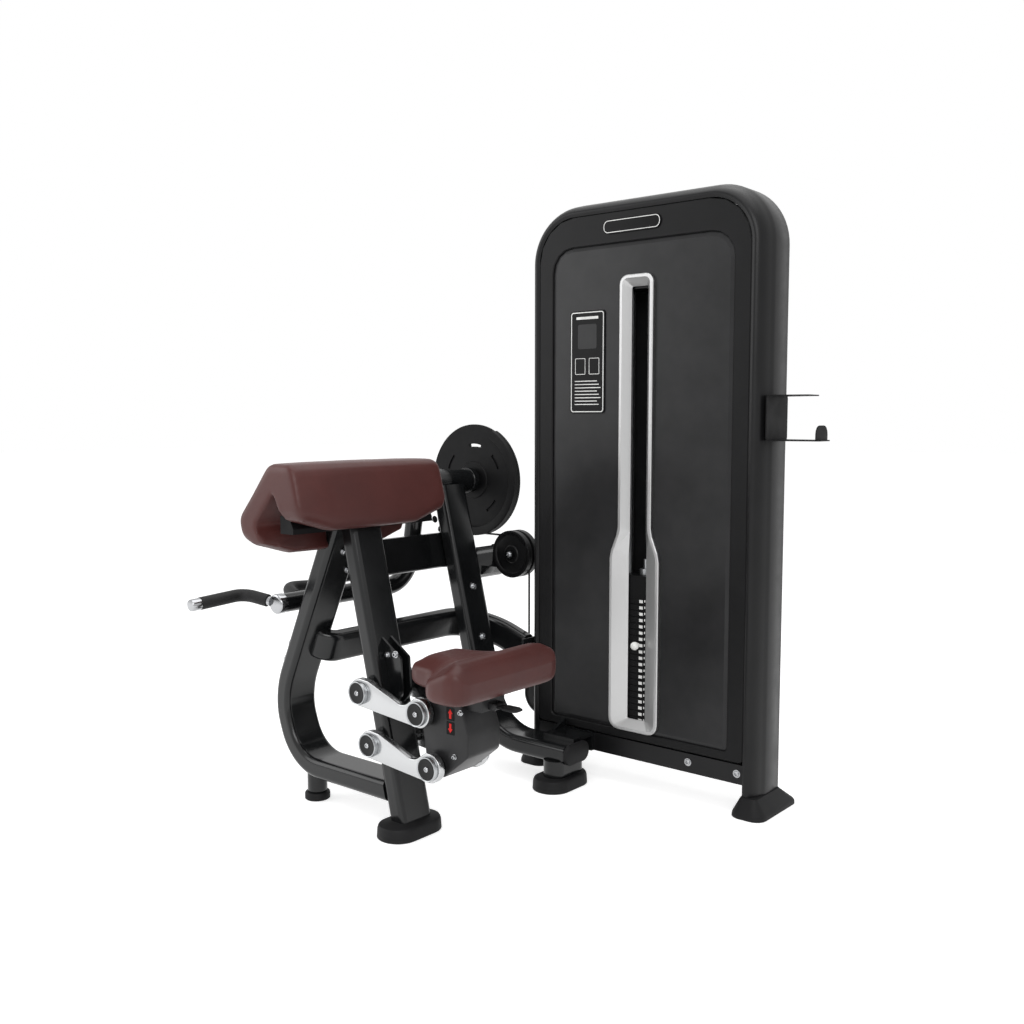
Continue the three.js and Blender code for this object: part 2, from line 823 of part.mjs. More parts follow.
function holderBracket() {
  const wall = TOWER.width / 2 + TOUCH;
  const { sheet, bottom, top, front, back, upperReach, lowerReach, tabWidth, tabHeight } = HOLDER;
  const middle = (front + back) / 2;
  const centre = (top + bottom) / 2;
  const side = roundedOutline(roundedBox(back - front, top - bottom, HOLDER.cornerRadius, middle, centre));
  const shelf = (reach, endWidth) =>
    roundedOutline([
      { x: wall, z: front, r: 0 },
      { x: wall + reach, z: middle - endWidth / 2, r: HOLDER.cornerRadius },
      { x: wall + reach, z: middle + endWidth / 2, r: HOLDER.cornerRadius },
      { x: wall, z: back, r: 0 },
    ]);
  const tab = roundedOutline([
    { x: middle - tabWidth / 2, z: bottom, r: 0 },
    { x: middle + tabWidth / 2, z: bottom, r: 0 },
    { x: middle + tabWidth / 2, z: bottom + tabHeight, r: tabWidth / 3 },
    { x: middle - tabWidth / 2, z: bottom + tabHeight, r: tabWidth / 3 },
  ]);
  return join(
    slabX(side, wall, wall + sheet),
    slabZ(shelf(upperReach, tabWidth), top - sheet, top),
    slabZ(shelf(lowerReach, tabWidth), bottom, bottom + sheet),
    slabX(tab, wall + lowerReach - HOLDER.cornerRadius - sheet, wall + lowerReach - HOLDER.cornerRadius),
  );
}

add(tower, 'tower_frame', towerTube(), 'tower');
add(tower, 'tower_shoe_right', shoe(), 'rubber');
add(tower, 'tower_shoe_left', shoe(), 'rubber').scale.x = -1;
add(tower, 'bottom_bar', bottomBar(), 'tower');
add(tower, 'front_bezel', frontBezel(), 'bezel');
add(tower, 'front_panel', frontPanel(), 'panel');
add(tower, 'window_frame', windowFrame(), 'silver');
add(tower, 'rear_panel', rearPanel(), 'panel');
add(tower, 'badge_plate', signPlate(BADGE, BEZEL.front), 'sign');
add(tower, 'placard', signPlate(PLACARD, PANEL.front), 'sign');
add(tower, 'holder_bracket', holderBracket(), 'frame');

// Weight stack and what guides it

const stack = new THREE.Group();
machine.add(stack);

const TOP_PULLEY_Z = TOP_CABLE_Z - TOP_PULLEY.groove;
const TOP_BAR_TOP = TOP_PULLEY_Z - TOP_BAR.drop;
const CORNER_PULLEY_X = bottomPulleyX() + BOTTOM_PULLEY.groove + TOP_PULLEY.groove;
const CENTRE_PULLEY_X = -TOP_PULLEY.groove;
const BAR_TOP = BOTTOM_BAR.bottom + BOTTOM_BAR.height;

function topBar() {
  const x = TOWER_INNER - TOUCH;
  const y = [CABLE_Y - TOP_BAR.depth / 2, CABLE_Y + TOP_BAR.depth / 2];
  const beam = block([-x, x], y, [TOP_BAR_TOP - TOP_BAR.height, TOP_BAR_TOP]);
  const through = [TOP_BAR_TOP - TOP_BAR.height - OVERRUN, TOP_BAR_TOP + OVERRUN];
  const hole = rodZ(TOP_BAR.cableHoleRadius, 0, CABLE_Y, ...through);
  const risingX = CORNER_PULLEY_X - TOP_PULLEY.groove;
  const notch = block(
    [-TOWER_INNER - OVERRUN, risingX + TOP_BAR.cableHoleRadius],
    [CABLE_Y - TOP_BAR.cableHoleRadius, CABLE_Y + TOP_BAR.cableHoleRadius],
    through,
  );
  const forks = [CORNER_PULLEY_X, CENTRE_PULLEY_X].flatMap((centre) => {
    const reach = TOP_PULLEY.thickness / 2 + FORK.cheekGap;
    const outline = roundedOutline([
      { x: centre - FORK.width / 2, z: TOP_BAR_TOP - TOUCH, r: 0 },
      { x: centre + FORK.width / 2, z: TOP_BAR_TOP - TOUCH, r: 0 },
      { x: centre + FORK.width / 2, z: TOP_PULLEY_Z + FORK.radius, r: FORK.radius },
      { x: centre - FORK.width / 2, z: TOP_PULLEY_Z + FORK.radius, r: FORK.radius },
    ]);
    const axleReach = [CABLE_Y - reach - TOUCH, CABLE_Y + reach + TOUCH];
    return [
      slabY(outline, CABLE_Y - reach - FORK.thickness, CABLE_Y - reach),
      slabY(outline, CABLE_Y + reach, CABLE_Y + reach + FORK.thickness),
      rodY(TOP_PULLEY.bore - RUNNING, centre, TOP_PULLEY_Z, ...axleReach),
    ];
  });
  return join(cut(beam, hole, notch), ...forks);
}

function guideRod() {
  return rodZ(GUIDE_ROD.radius, 0, 0, BAR_TOP + TOUCH, TOP_BAR_TOP - TOP_BAR.height - TOUCH);
}

function guideBores(from, to) {
  const radius = GUIDE_ROD.radius + 2 * RUNNING;
  const through = [from - OVERRUN, to + OVERRUN];
  return [-1, 1].map((side) => rodZ(radius, side * GUIDE_ROD.halfSpacing, CABLE_Y, ...through));
}

function rodBore(from, to, clearance) {
  return rodZ(SELECTOR.rodRadius + clearance, 0, CABLE_Y, from - OVERRUN, to + OVERRUN);
}

// A pile of plates as one comb-shaped body, with a fine groove between neighbours.
function plates(count, top) {
  const { platePitch, groove, grooveDepth, front, halfWidth } = STACK;
  const back = front + STACK_DEPTH;
  const bottom = top - count * platePitch;
  const tools = [];
  for (let k = 1; k < count; k += 1) {
    const z = top - k * platePitch;
    const level = [z - groove / 2, z + groove / 2];
    const across = [-halfWidth - OVERRUN, halfWidth + OVERRUN];
    tools.push(block(across, [front - OVERRUN, front + grooveDepth], level));
  }
  const pile = block([-halfWidth, halfWidth], [front, back], [bottom, top]);
  return cut(pile, ...tools, ...guideBores(bottom, top), rodBore(bottom, top, 2 * RUNNING));
}

const PIN_Z = LIFTED_BOTTOM + STACK.platePitch / 2;

function pinBore() {
  return rodY(PIN.radius + RUNNING, 0, PIN_Z, STACK.front - OVERRUN, CABLE_Y + SELECTOR.rodRadius + TOUCH);
}

function headPlate() {
  const { halfWidth, front, headBottom, topPlateHeight } = STACK;
  const levels = [headBottom + TOUCH, headBottom + topPlateHeight];
  const body = block([-halfWidth, halfWidth], [front, front + STACK_DEPTH], levels);
  return cut(body, ...guideBores(...levels), rodBore(...levels, TOUCH));
}

const HEAD_TOP = STACK.headBottom + STACK.topPlateHeight;
const EYE_TOP = HEAD_TOP + SELECTOR.collarHeight + SELECTOR.eyeHeight;

function selectorRod() {
  const collarTop = HEAD_TOP + SELECTOR.collarHeight;
  const rod = rodZ(SELECTOR.rodRadius, 0, CABLE_Y, STACK_BOTTOM + OVERRUN, collarTop);
  const collar = rodZ(SELECTOR.collarRadius, 0, CABLE_Y, HEAD_TOP + TOUCH, collarTop);
  const eye = rodZ(SELECTOR.eyeRadius, 0, CABLE_Y, HEAD_TOP + OVERRUN, EYE_TOP);
  return cut(join(rod, collar, eye), pinBore());
}

function selectorPin() {
  const stem = rodY(PIN.radius, 0, PIN_Z, PIN.knobY, CABLE_Y + SELECTOR.rodRadius / 2);
  const neck = rodY(PIN.stemRadius, 0, PIN_Z, PIN.knobY, STACK.front - TOUCH - RUNNING);
  const ball = new THREE.SphereGeometry(PIN.knobRadius, facets(TUBE_STEP), facets(TUBE_STEP) / 2);
  return join(stem, neck, ball.translate(0, PIN.knobY, PIN_Z));
}

function stackBumper() {
  const levels = [BAR_TOP + TOUCH, STACK_BOTTOM - TOUCH];
  const half = BUMPER.depth / 2;
  const pad = block([-BUMPER.halfWidth, BUMPER.halfWidth], [CABLE_Y - half, CABLE_Y + half], levels);
  return cut(pad, ...guideBores(...levels));
}

add(stack, 'top_bar', topBar(), 'tower');
['left', 'right'].forEach((side, i) => {
  const rod = add(stack, `guide_rod_${side}`, guideRod(), 'chrome');
  rod.position.set((2 * i - 1) * GUIDE_ROD.halfSpacing, CABLE_Y, 0);
});
add(stack, 'stack_bumper', stackBumper(), 'rubber');
add(stack, 'head_plate', headPlate(), 'plate');
add(stack, 'selector_rod', selectorRod(), 'steel');
add(stack, 'upper_plates', cut(plates(STACK.liftedPlates, STACK.headBottom), pinBore()), 'plate');
add(stack, 'lower_plates', plates(STACK.restingPlates, LIFTED_BOTTOM - TOUCH), 'plate');
add(stack, 'selector_pin', selectorPin(), 'ball');

// Front frame

const frame = new THREE.Group();
machine.add(frame);

function postX(z) {
  return FRONT_POST.footX - FRONT_POST.lean * (z - FRONT_POST.footZ);
}

function rearPostX(z) {
  return REAR_POST.topX + REAR_POST.lean * (REAR_POST.topZ - z);
}

const LINK_UPPER = { x: LINK.upperX, z: LINK.upperZ };
const LINK_LOWER = { x: LINK.lowerX, z: LINK.lowerZ };

function frontPost() {
  const above = FRONT_POST.top + OVERRUN;
  const below = FRONT_POST.footZ - OVERRUN;
  const line = [
    { x: postX(below), z: below },
    { x: postX(above), z: above },
  ];
  const tube = upright(bentTube(flatOval(), line), FRONT_FRAME_Y);
  const reach = TUBE.breadth;
  const y = [FRONT_FRAME_Y - reach, FRONT_FRAME_Y + reach];
  const x = [postX(above) - reach, postX(below) + reach];
  const trim = block(x, y, [FRONT_POST.footZ + TOUCH, FRONT_POST.top]);
  const bores = [LINK_UPPER, LINK_LOWER].map((p) => rodY(LINK.pinRadius + TOUCH, p.x, p.z, ...y));
  return cut(common(tube, trim), ...bores);
}

// The leg is welded to the post's side at its foot and stands on a short round leg.
function curvedLeg() {
  const start = { x: postX(LEG_Z) - FRONT_POST.lean * TUBE.thickness, z: LEG_Z };
  const y = [FRONT_FRAME_Y - TUBE.breadth, FRONT_FRAME_Y + TUBE.breadth];
  const tube = upright(bentTube(flatOval(), [start, ...LEG_LINE]), FRONT_FRAME_Y);
  const beyond = upright(
    slabOutlineBesidePost(TUBE.thickness / 2 + TOUCH, LEG_Z - TUBE.breadth, LEG_Z + TUBE.breadth),
    y[1],
  );
  const topLevels = [FRONT_POST.top, FRONT_POST.top + TUBE.breadth];
  const above = block([LEG_LINE[1].x - TUBE.breadth, 0], y, topLevels);
  const stub = rodZ(ROUND_LEG.radius, ROUND_LEG.x, FRONT_FRAME_Y, ROUND_LEG.footHeight + TOUCH, LEG_Z);
  return join(cut(tube, beyond, above), stub);
}

// A solid that fills the space from the front post's left face to its right, for trimming.
function slabOutlineBesidePost(distance, bottom, top) {
  const offset = distance * Math.hypot(1, FRONT_POST.lean);
  const points = [
    new THREE.Vector2(postX(bottom) - offset, bottom),
    new THREE.Vector2(postX(bottom) + TUBE.breadth, bottom),
    new THREE.Vector2(postX(top) + TUBE.breadth, top),
    new THREE.Vector2(postX(top) - offset, top),
  ];
  const options = { depth: 2 * TUBE.breadth, bevelEnabled: false };
  return new THREE.ExtrudeGeometry(new THREE.Shape(points), options);
}

function ovalFoot(x, y) {
  const { halfWidth, halfLength, height, taper, edge, forward } = OVAL_FOOT;
  const ring = (inset, z) => {
    const [width, length] = [2 * (halfWidth - inset), 2 * (halfLength - inset)];
    const outline = roundedOutline(roundedBox(width, length, width / 2 - TOUCH));
    return outline.map((p) => new THREE.Vector3(x + p.x, y - forward + p.y, z));
  };
  return loft([ring(0, 0), ring(taper / 2, height - edge), ring(taper / 2 + edge, height)]);
}

function roundFoot() {
  const { footRadius, footHeight } = ROUND_LEG;
  return rodZ(footRadius, ROUND_LEG.x, FRONT_FRAME_Y, 0, footHeight);
}

// The bent tube that is both the rear post and the base beam, with a short oval spigot under it.
function rearPost() {
  const low = rearPostX(REAR_POST.bottomZ);
  const line = [
    { x: rearPostX(PIVOT.z), z: PIVOT.z },
    { x: low, z: REAR_POST.bottomZ, r: REAR_POST.bendRadius },
    { x: REAR_POST.endX, z: REAR_POST.bottomZ },
  ];
  const tube = upright(bentTube(flatOval(), line), REAR_POST_Y);
  const reach = [REAR_POST_Y - TUBE.breadth, REAR_POST_Y + TUBE.breadth];
  const seat = rodY(HOUSING.radius + TOUCH, PIVOT.x, PIVOT.z, ...reach, FINE_STEP);
  const collarReach = [reach[0], HOUSING.collarBack + TOUCH];
  const collarSeat = rodY(HOUSING.collarRadius + TOUCH, PIVOT.x, PIVOT.z, ...collarReach, FINE_STEP);
  const above = block(
    [PIVOT.x - TUBE.breadth, PIVOT.x + TUBE.breadth],
    [REAR_POST_Y - TUBE.breadth, REAR_POST_Y + TUBE.breadth],
    [PIVOT.z - HOUSING.radius / 3, PIVOT.z + TUBE.breadth],
  );
  const { halfWidth, halfLength } = SPIGOT;
  const corners = roundedBox(2 * halfWidth, 2 * halfLength, halfWidth - TOUCH, REAR_FOOT_X, REAR_POST_Y);
  const spigot = slabZ(roundedOutline(corners), OVAL_FOOT.height + TOUCH, REAR_POST.bottomZ);
  return join(cut(tube, seat, collarSeat, above), spigot);
}

function baseEndCap() {
  const [width, height] = [TUBE.breadth + 2 * END_CAP.lip, TUBE.thickness + 2 * END_CAP.lip];
  const corners = roundedBox(width, height, TUBE.thickness / 2, REAR_POST_Y, REAR_POST.bottomZ);
  const outline = roundedOutline(corners);
  return slabX(outline, REAR_POST.endX + TOUCH, REAR_POST.endX + TOUCH + END_CAP.thickness, END_CAP.lip);
}

// Joins the base beam to the tower's bottom bar: a plate on the beam, a gusset and a back plate.
function baseBracket() {
  const { left, right, thickness, gussetHeight } = BASE_BRACKET;
  const beamTop = REAR_POST.bottomZ + TUBE.thickness / 2 + TOUCH;
  const barFront = BOTTOM_BAR.front - TOUCH;
  const beamBack = REAR_POST_Y + TUBE.breadth / 2 - TUBE.thickness / 2;
  const plate = block([left, right], [REAR_POST_Y, barFront], [beamTop, beamTop + thickness]);
  const web = slabX(
    [
      new THREE.Vector2(beamBack, beamTop + thickness / 2),
      new THREE.Vector2(barFront - thickness / 2, beamTop + thickness / 2),
      new THREE.Vector2(barFront - thickness / 2, beamTop + gussetHeight),
    ],
    left,
    left + thickness,
  );
  const upstand = block([left, right], [barFront - thickness, barFront], [BOTTOM_BAR.bottom, BAR_TOP]);
  return join(plate, web, upstand);
}

// Turns a geometry made round the origin to stand along a post that leans, at a point of it.
function alongPost(geometry, lean, x, z, y) {
  return geometry.rotateY(-Math.atan(lean)).translate(x, y, z);
}

// The upper cross tube: from the back of the curved leg, round a bend, to a plate on the rear post.
function upperCrossTube() {
  const { x, z, bendRadius, bendY } = UPPER_TUBE;
  const line = [
    { x, z: FRONT_FRAME_Y + TUBE.thickness / 2 },
    { x, z: bendY + bendRadius, r: bendRadius },
    { x: x + 2 * bendRadius, z: bendY + bendRadius },
  ];
  const tube = bentTube(flatOval(), line).translate(0, 0, z);
  const face = rearPostX(z) - (TUBE.thickness / 2 + TOUCH) * Math.hypot(1, REAR_POST.lean);
  const beyond = block([0, TUBE.breadth * 2], [-TUBE.breadth, TUBE.breadth], [-TUBE.breadth, TUBE.breadth]);
  const outline = roundedOutline(roundedBox(END_PLATE.width, END_PLATE.height, END_PLATE.radius));
  const plate = alongPost(slabX(outline, -END_PLATE.thickness, 0), REAR_POST.lean, face, z, REAR_POST_Y);
  const trimmed = cut(tube, alongPost(beyond, REAR_POST.lean, face, z, REAR_POST_Y), legRoom());
  return join(trimmed, plate);
}

// The curved leg's own shape, a little larger, to trim what butts against it.
function legRoom() {
  const section = flatOval(TUBE.breadth + 2 * TOUCH, TUBE.thickness + 2 * TOUCH);
  const tube = upright(bentTube(section, LEG_LINE), FRONT_FRAME_Y);
  const y = [FRONT_FRAME_Y - TUBE.breadth, FRONT_FRAME_Y + TUBE.breadth];
  return common(tube, block([LEG_LINE[1].x - TUBE.breadth, 0], y, [0, FRONT_POST.top + TOUCH]));
}

// The lower cross tube: beside the curved leg, back, then round and down to the tower's left side.
function lowerCrossTube() {
  const { breadth, thickness, x, z, slope, bendRadius, endY } = LOWER_TUBE;
  const { legReach, legBendY, legBendRadius } = LOWER_TUBE;
  const angle = THREE.MathUtils.degToRad(slope);
  const plateFace = -TOWER.width / 2 - TOUCH;
  const run = (plateFace - x) / Math.cos(angle);
  const line = [
    { x: -legReach, z: legBendY },
    { x: 0, z: legBendY, r: legBendRadius },
    { x: 0, z: endY, r: bendRadius },
    { x: run + TUBE.breadth, z: endY },
  ];
  const tube = bentTube(flatOval(breadth, thickness), line).rotateY(angle).translate(x, 0, z);
  const top = z - run * Math.sin(angle) + TOWER_PLATE.height / 2;
  const y = [TOWER_PLATE.front, TOWER_PLATE.back];
  const plate = block([plateFace - TOWER_PLATE.thickness, plateFace], y, [top - TOWER_PLATE.height, top]);
  const beyond = block(
    [plateFace - TOWER_PLATE.thickness / 2, TUBE.breadth],
    [-TOWER.width / 2, TOWER.width / 2],
    [top - TOWER.width / 2, top + TOWER.width / 2],
  );
  return join(cut(tube, beyond, legRoom()), plate);
}

// Moves each corner of an outline inwards by a distance. Corners run anticlockwise.
function heldIn(corners, inset) {
  return corners.map((corner, i) => {
    const here = new THREE.Vector2(corner.x, corner.z);
    const before = corners[(i + corners.length - 1) % corners.length];
    const after = corners[(i + 1) % corners.length];
    const arriving = here.clone().sub(new THREE.Vector2(before.x, before.z)).normalize();
    const leaving = new THREE.Vector2(after.x, after.z).sub(here).normalize();
    const inward = new THREE.Vector2(-arriving.y - leaving.y, arriving.x + leaving.x).normalize();
    const stretch = inset / inward.dot(new THREE.Vector2(-arriving.y, arriving.x));
    return {
      ...corner,
      x: corner.x + inward.x * stretch,
      z: corner.z + inward.y * stretch,
      r: Math.max(corner.r - inset * Math.sign(arriving.cross(leaving)), TOUCH),
    };
  });
}

// Rings for a soft block: the outline is held in at each end and runs full in between.
function softRings(levels, corners, segments, place) {
  return levels.map(([level, inset]) =>
    roundedOutline(heldIn(corners(level), inset), TUBE_STEP, segments).map((p) => place(p, level)),
  );
}

// How far round its quarter turn each ring of a soft edge stands.
const SOFT_EDGE_SHARES = [0, 1 / 3, 2 / 3];

// Levels from one end of a soft block to the other, each with its inset: both edges are rounded.
function softLevels(from, to, edge, count) {
  const turns = SOFT_EDGE_SHARES.map((turnShare) => (turnShare * Math.PI) / 2);
  const start = turns.map((turn) => [from + edge * (1 - Math.cos(turn)), edge * (1 - Math.sin(turn))]);
  const end = start.map(([level, inset]) => [from + to - level, inset]).reverse();
  const span = to - from - 2 * edge;
  const between = Array.from({ length: count + 1 }, (_, k) => [from + edge + (span * k) / count, 0]);
  return [...start, ...between, ...end];
}

// The arm pad's outer section at a depth: fullest in the middle, its lower corners rounded off
// towards both ends.
function armPadCorners(y) {
  const { front, back, crown, cornerRise, cornerReach } = ARM_PAD;
  const half = (back - front) / 2;
  const share = (y - (front + back) / 2) / half;
  const bow = crown * (1 - share * share);
  const reach = Math.max(0, 1 - (half - Math.abs(y - (front + back) / 2)) / cornerReach);
  const rise = cornerRise * (1 - Math.sqrt(1 - reach * reach));
  const middle = { x: (ARM_PAD_SECTION[0].x + ARM_PAD.lowX) / 2, z: ARM_PAD.middleZ };
  return ARM_PAD_SECTION.map((corner) => {
    const away = new THREE.Vector2(corner.x - middle.x, corner.z - middle.z).normalize();
    const push = corner.outer ? bow : 0;
    const lift = corner.rise ? rise * corner.rise - bow : 0;
    return { ...corner, x: corner.x + away.x * push, z: corner.z + away.y * push + lift };
  });
}

// The pad is two slabs on a ridge, hollow between them, and notched where the curved leg ends.
function armPad() {
  const levels = softLevels(ARM_PAD.front, ARM_PAD.back, ARM_PAD.edge, ARM_PAD.stations);
  const place = (p, y) => new THREE.Vector3(p.x, y, p.y);
  const skin = loft(softRings(levels, armPadCorners, ARM_PAD.segments, place));
  const hollow = slabY(roundedOutline(PAD_HOLLOW), ARM_PAD.front - OVERRUN, ARM_PAD.back + OVERRUN);
  return cut(skin, hollow, legRoom());
}

// Steel under the arm pad: a beam along the chest slab's inner face and a plate on the post and leg.
function padBracket() {
  const { front, back, width, height, thickness } = PAD_BRACKET;
  const bottom = FRONT_POST.top + TOUCH;
  const right = PAD_HOLLOW[0].x - TOUCH;
  const shoulder = right - ((bottom + height - PAD_HOLLOW[0].z) * PAD_HOLLOW_RUN) / PAD_HOLLOW_RISE;
  const beam = slabY(
    [
      new THREE.Vector2(right - width, bottom),
      new THREE.Vector2(right, bottom),
      new THREE.Vector2(right, PAD_HOLLOW[0].z),
      new THREE.Vector2(shoulder, bottom + height),
      new THREE.Vector2(right - width, bottom + height),
    ],
    front,
    back,
  );
  const legTop = LEG_LINE[LEG_LINE.length - 1].x;
  const plate = block(
    [legTop - TUBE.thickness / 2, right - width / 2],
    [FRONT_FRAME_Y - TUBE.breadth / 2, FRONT_FRAME_Y + TUBE.breadth / 2],
    [bottom, bottom + thickness],
  );
  return join(beam, plate);
}

add(frame, 'front_post', frontPost(), 'frame');
add(frame, 'curved_leg', curvedLeg(), 'frame');
add(frame, 'upper_cross_tube', upperCrossTube(), 'frame');
add(frame, 'lower_cross_tube', lowerCrossTube(), 'frame');
add(frame, 'pad_bracket', padBracket(), 'frame');
add(frame, 'arm_pad', armPad(), 'leather');
add(frame, 'front_foot', ovalFoot(postX(0), FRONT_FRAME_Y), 'rubber');
add(frame, 'round_foot', roundFoot(), 'rubber');
add(frame, 'rear_post', rearPost(), 'frame');
add(frame, 'rear_foot', ovalFoot(REAR_FOOT_X, REAR_POST_Y), 'rubber');
add(frame, 'base_end_cap', baseEndCap(), 'rubber');
add(frame, 'base_bracket', baseBracket(), 'frame');

// A round bend through three points in space.
function cornerTube(section, from, corner, to, radius, step = BEND_STEP) {
  const first = corner.clone().sub(from);
  const last = to.clone().sub(corner);
  const along = first.clone().normalize();
  const square = along.clone().cross(last).normalize();
  const across = square.clone().cross(along);
  const line = [
    { x: 0, z: 0 },
    { x: first.length(), z: 0, r: radius },
    { x: first.length() + last.dot(along), z: last.dot(across) },
  ];
  const turn = new THREE.Matrix4().makeBasis(along, across, square);
  return bentTube(section, line, step).applyMatrix4(turn).translate(from.x, from.y, from.z);
}

function rodBetween(radius, from, to, step = TUBE_STEP) {
  const along = to.clone().sub(from);
  const up = new THREE.Vector3(0, 1, 0);
  const turn = new THREE.Quaternion().setFromUnitVectors(up, along.clone().normalize());
  const middle = from.clone().lerp(to, 1 / 2);
  return new THREE.CylinderGeometry(radius, radius, along.length(), facets(step))
    .applyQuaternion(turn)
    .translate(middle.x, middle.y, middle.z);
}

// Drive: housing, shaft, cam, pulleys and cable

const drive = new THREE.Group();
machine.add(drive);

const SMALL_PULLEY_X = CABLE_DROP_X - SMALL_PULLEY.groove;
const TRACK_Z = PIVOT.z - CAM.trackRadius;
const SMALL_PULLEY_Z = TRACK_Z - SMALL_PULLEY.groove;

function pivotHousing() {
  const { radius, front, collarRadius, collarBack, back, flangeRadius, flangeBack } = HOUSING;
  const bore = SHAFT.radius + RUNNING;
  return turned([
    [bore, front],
    [collarRadius, front],
    [collarRadius, collarBack],
    [radius, collarBack],
    [radius, back],
    [flangeRadius, back],
    [flangeRadius, flangeBack],
    [bore, flangeBack],
  ]).translate(PIVOT.x, 0, PIVOT.z);
}

// The shaft from the arm's boss through the housing to the cam, with its collars and nut.
function pivotShaft() {
  const { radius, collar, collarLength } = SHAFT;
  const bossFront = ARM.y - ARM.bossLength / 2;
  const bossBack = ARM.y + ARM.bossLength / 2;
  const hubFront = CABLE_Y - CAM.hubThickness / 2;
  const hubBack = CABLE_Y + CAM.hubThickness / 2;
  const rod = (r, from, to) => rodY(r, PIVOT.x, PIVOT.z, from, to);
  return join(
    rod(radius, bossFront - collarLength, hubBack + collarLength),
    rod(collar, bossFront - collarLength, bossFront - TOUCH),
    rod(collar, bossBack + TOUCH, HOUSING.front - RUNNING),
    rod(collar, HOUSING.flangeBack + RUNNING, hubFront - TOUCH),
    rod(collar, hubBack + TOUCH, hubBack + collarLength),
  );
}

// The outline of a ring's sector, from one polar angle in degrees to a larger one.
function sectorOutline(inner, outer, from, to, step = FINE_STEP) {
  const start = THREE.MathUtils.degToRad(from);
  const sweep = THREE.MathUtils.degToRad(to - from);
  const count = Math.ceil(sweep / step);
  const arc = (radius) =>
    Array.from({ length: count + 1 }, (_, k) => {
      const angle = start + (sweep * k) / count;
      return new THREE.Vector2(PIVOT.x + radius * Math.cos(angle), PIVOT.z + radius * Math.sin(angle));
    });
  return [...arc(outer), ...arc(inner).reverse()];
}

function camDisc() {
  const bore = SHAFT.radius + TOUCH;
  const web = CAM.webThickness / 2;
  const hub = CAM.hubThickness / 2;
  const disc = turned([
    [bore, -hub],
    [CAM.hubRadius, -hub],
    [CAM.hubRadius, -web],
    [CAM.webRadius, -web],
    [CAM.webRadius, web],
    [CAM.hubRadius, web],
    [CAM.hubRadius, hub],
    [bore, hub],
  ]).translate(PIVOT.x, CABLE_Y, PIVOT.z);
  const rimHalf = CAM.rimThickness / 2;
  const sector = sectorOutline(CAM.rimInner, CAM.rimRadius, CAM.rimTo, CAM.rimFrom);
  const rim = slabY(sector, CABLE_Y - rimHalf, CABLE_Y + rimHalf);
  const floor = CAM.trackRadius - CABLE.radius - TOUCH;
  const seat = CABLE.radius + TOUCH;
  const track = turned([
    [floor, -seat],
    [CAM.rimRadius + OVERRUN, -PULLEY_GROOVE_HALF_WIDTH],
    [CAM.rimRadius + OVERRUN, PULLEY_GROOVE_HALF_WIDTH],
    [floor, seat],
  ]).translate(PIVOT.x, CABLE_Y, PIVOT.z);
  const trackRoom = sectorOutline(floor - OVERRUN, CAM.rimRadius + 2 * OVERRUN, CAM.rimTo, CAM.rimFrom);
  const groove = common(track, slabY(trackRoom, CABLE_Y - rimHalf, CABLE_Y + rimHalf));
  const slots = CAM.slotAngles.map((middle) => {
    const { slotRadius, slotHalfWidth, slotHalfAngle } = CAM;
    const [inner, outer] = [slotRadius - slotHalfWidth, slotRadius + slotHalfWidth];
    const outline = sectorOutline(inner, outer, middle - slotHalfAngle, middle + slotHalfAngle);
    return slabY(outline, CABLE_Y - OVERRUN, CABLE_Y + OVERRUN);
  });
  return cut(join(disc, rim), groove, ...slots);
}

function pulley({ groove, outer, thickness, bore }, step = TUBE_STEP) {
  const half = thickness / 2;
  const floor = groove * Math.cos(CABLE.bendStep / 2) - CABLE.radius - TOUCH;
  const seat = CABLE.radius + TOUCH;
  return turned([
    [bore, -half],
    [outer, -half],
    [outer, -PULLEY_GROOVE_HALF_WIDTH],
    [floor, -seat],
    [floor, seat],
    [outer, PULLEY_GROOVE_HALF_WIDTH],
    [outer, half],
    [bore, half],
  ], step);
}

// A short arm on the rear post that carries the small pulley's axle on a plate behind the pulley.
function pulleyArm() {
  const { x, z, breadth, thickness, cheek, front, bossRadius, axleHead, headLength } = PULLEY_ARM;
  const pulleyBack = CABLE_Y + SMALL_PULLEY.thickness / 2 + RUNNING;
  const cheekFront = pulleyBack + cheek / 2;
  const cheekBack = cheekFront + cheek;
  const section = roundedOutline(roundedBox(thickness, breadth, thickness / 2 - TOUCH, x, z));
  const stub = slabY(section, front, cheekBack);
  const plate = slabY(
    roundedOutline([
      { x: x - thickness / 2, z: z - breadth / 3, r: cheek },
      { x: SMALL_PULLEY_X + bossRadius, z: SMALL_PULLEY_Z - bossRadius, r: bossRadius - TOUCH },
      { x: SMALL_PULLEY_X + bossRadius, z: SMALL_PULLEY_Z + bossRadius, r: bossRadius - TOUCH },
      { x: x - thickness / 2, z: z + breadth / 2, r: cheek },
    ]),
    cheekFront,
    cheekBack,
  );
  const pulleyFront = CABLE_Y - SMALL_PULLEY.thickness / 2 - RUNNING;
  const rod = (radius, from, to) => rodY(radius, SMALL_PULLEY_X, SMALL_PULLEY_Z, from, to);
  const axle = rod(SMALL_PULLEY.bore - RUNNING, pulleyFront - headLength, cheekBack);
  const head = rod(axleHead, pulleyFront - headLength, pulleyFront);
  const spacer = rod(axleHead, pulleyBack, cheekBack);
  const postRoom = bentTube(flatOval(TUBE.breadth + 2 * TOUCH, TUBE.thickness + 2 * TOUCH), [
    { x: rearPostX(z - 2 * breadth), z: z - 2 * breadth },
    { x: rearPostX(PIVOT.z), z: PIVOT.z },
  ]);
  return join(cut(stub, upright(postRoom, REAR_POST_Y)), plate, axle, head, spacer);
}

const CABLE_SECTION = roundSection(CABLE.radius, CABLE.facetStep);

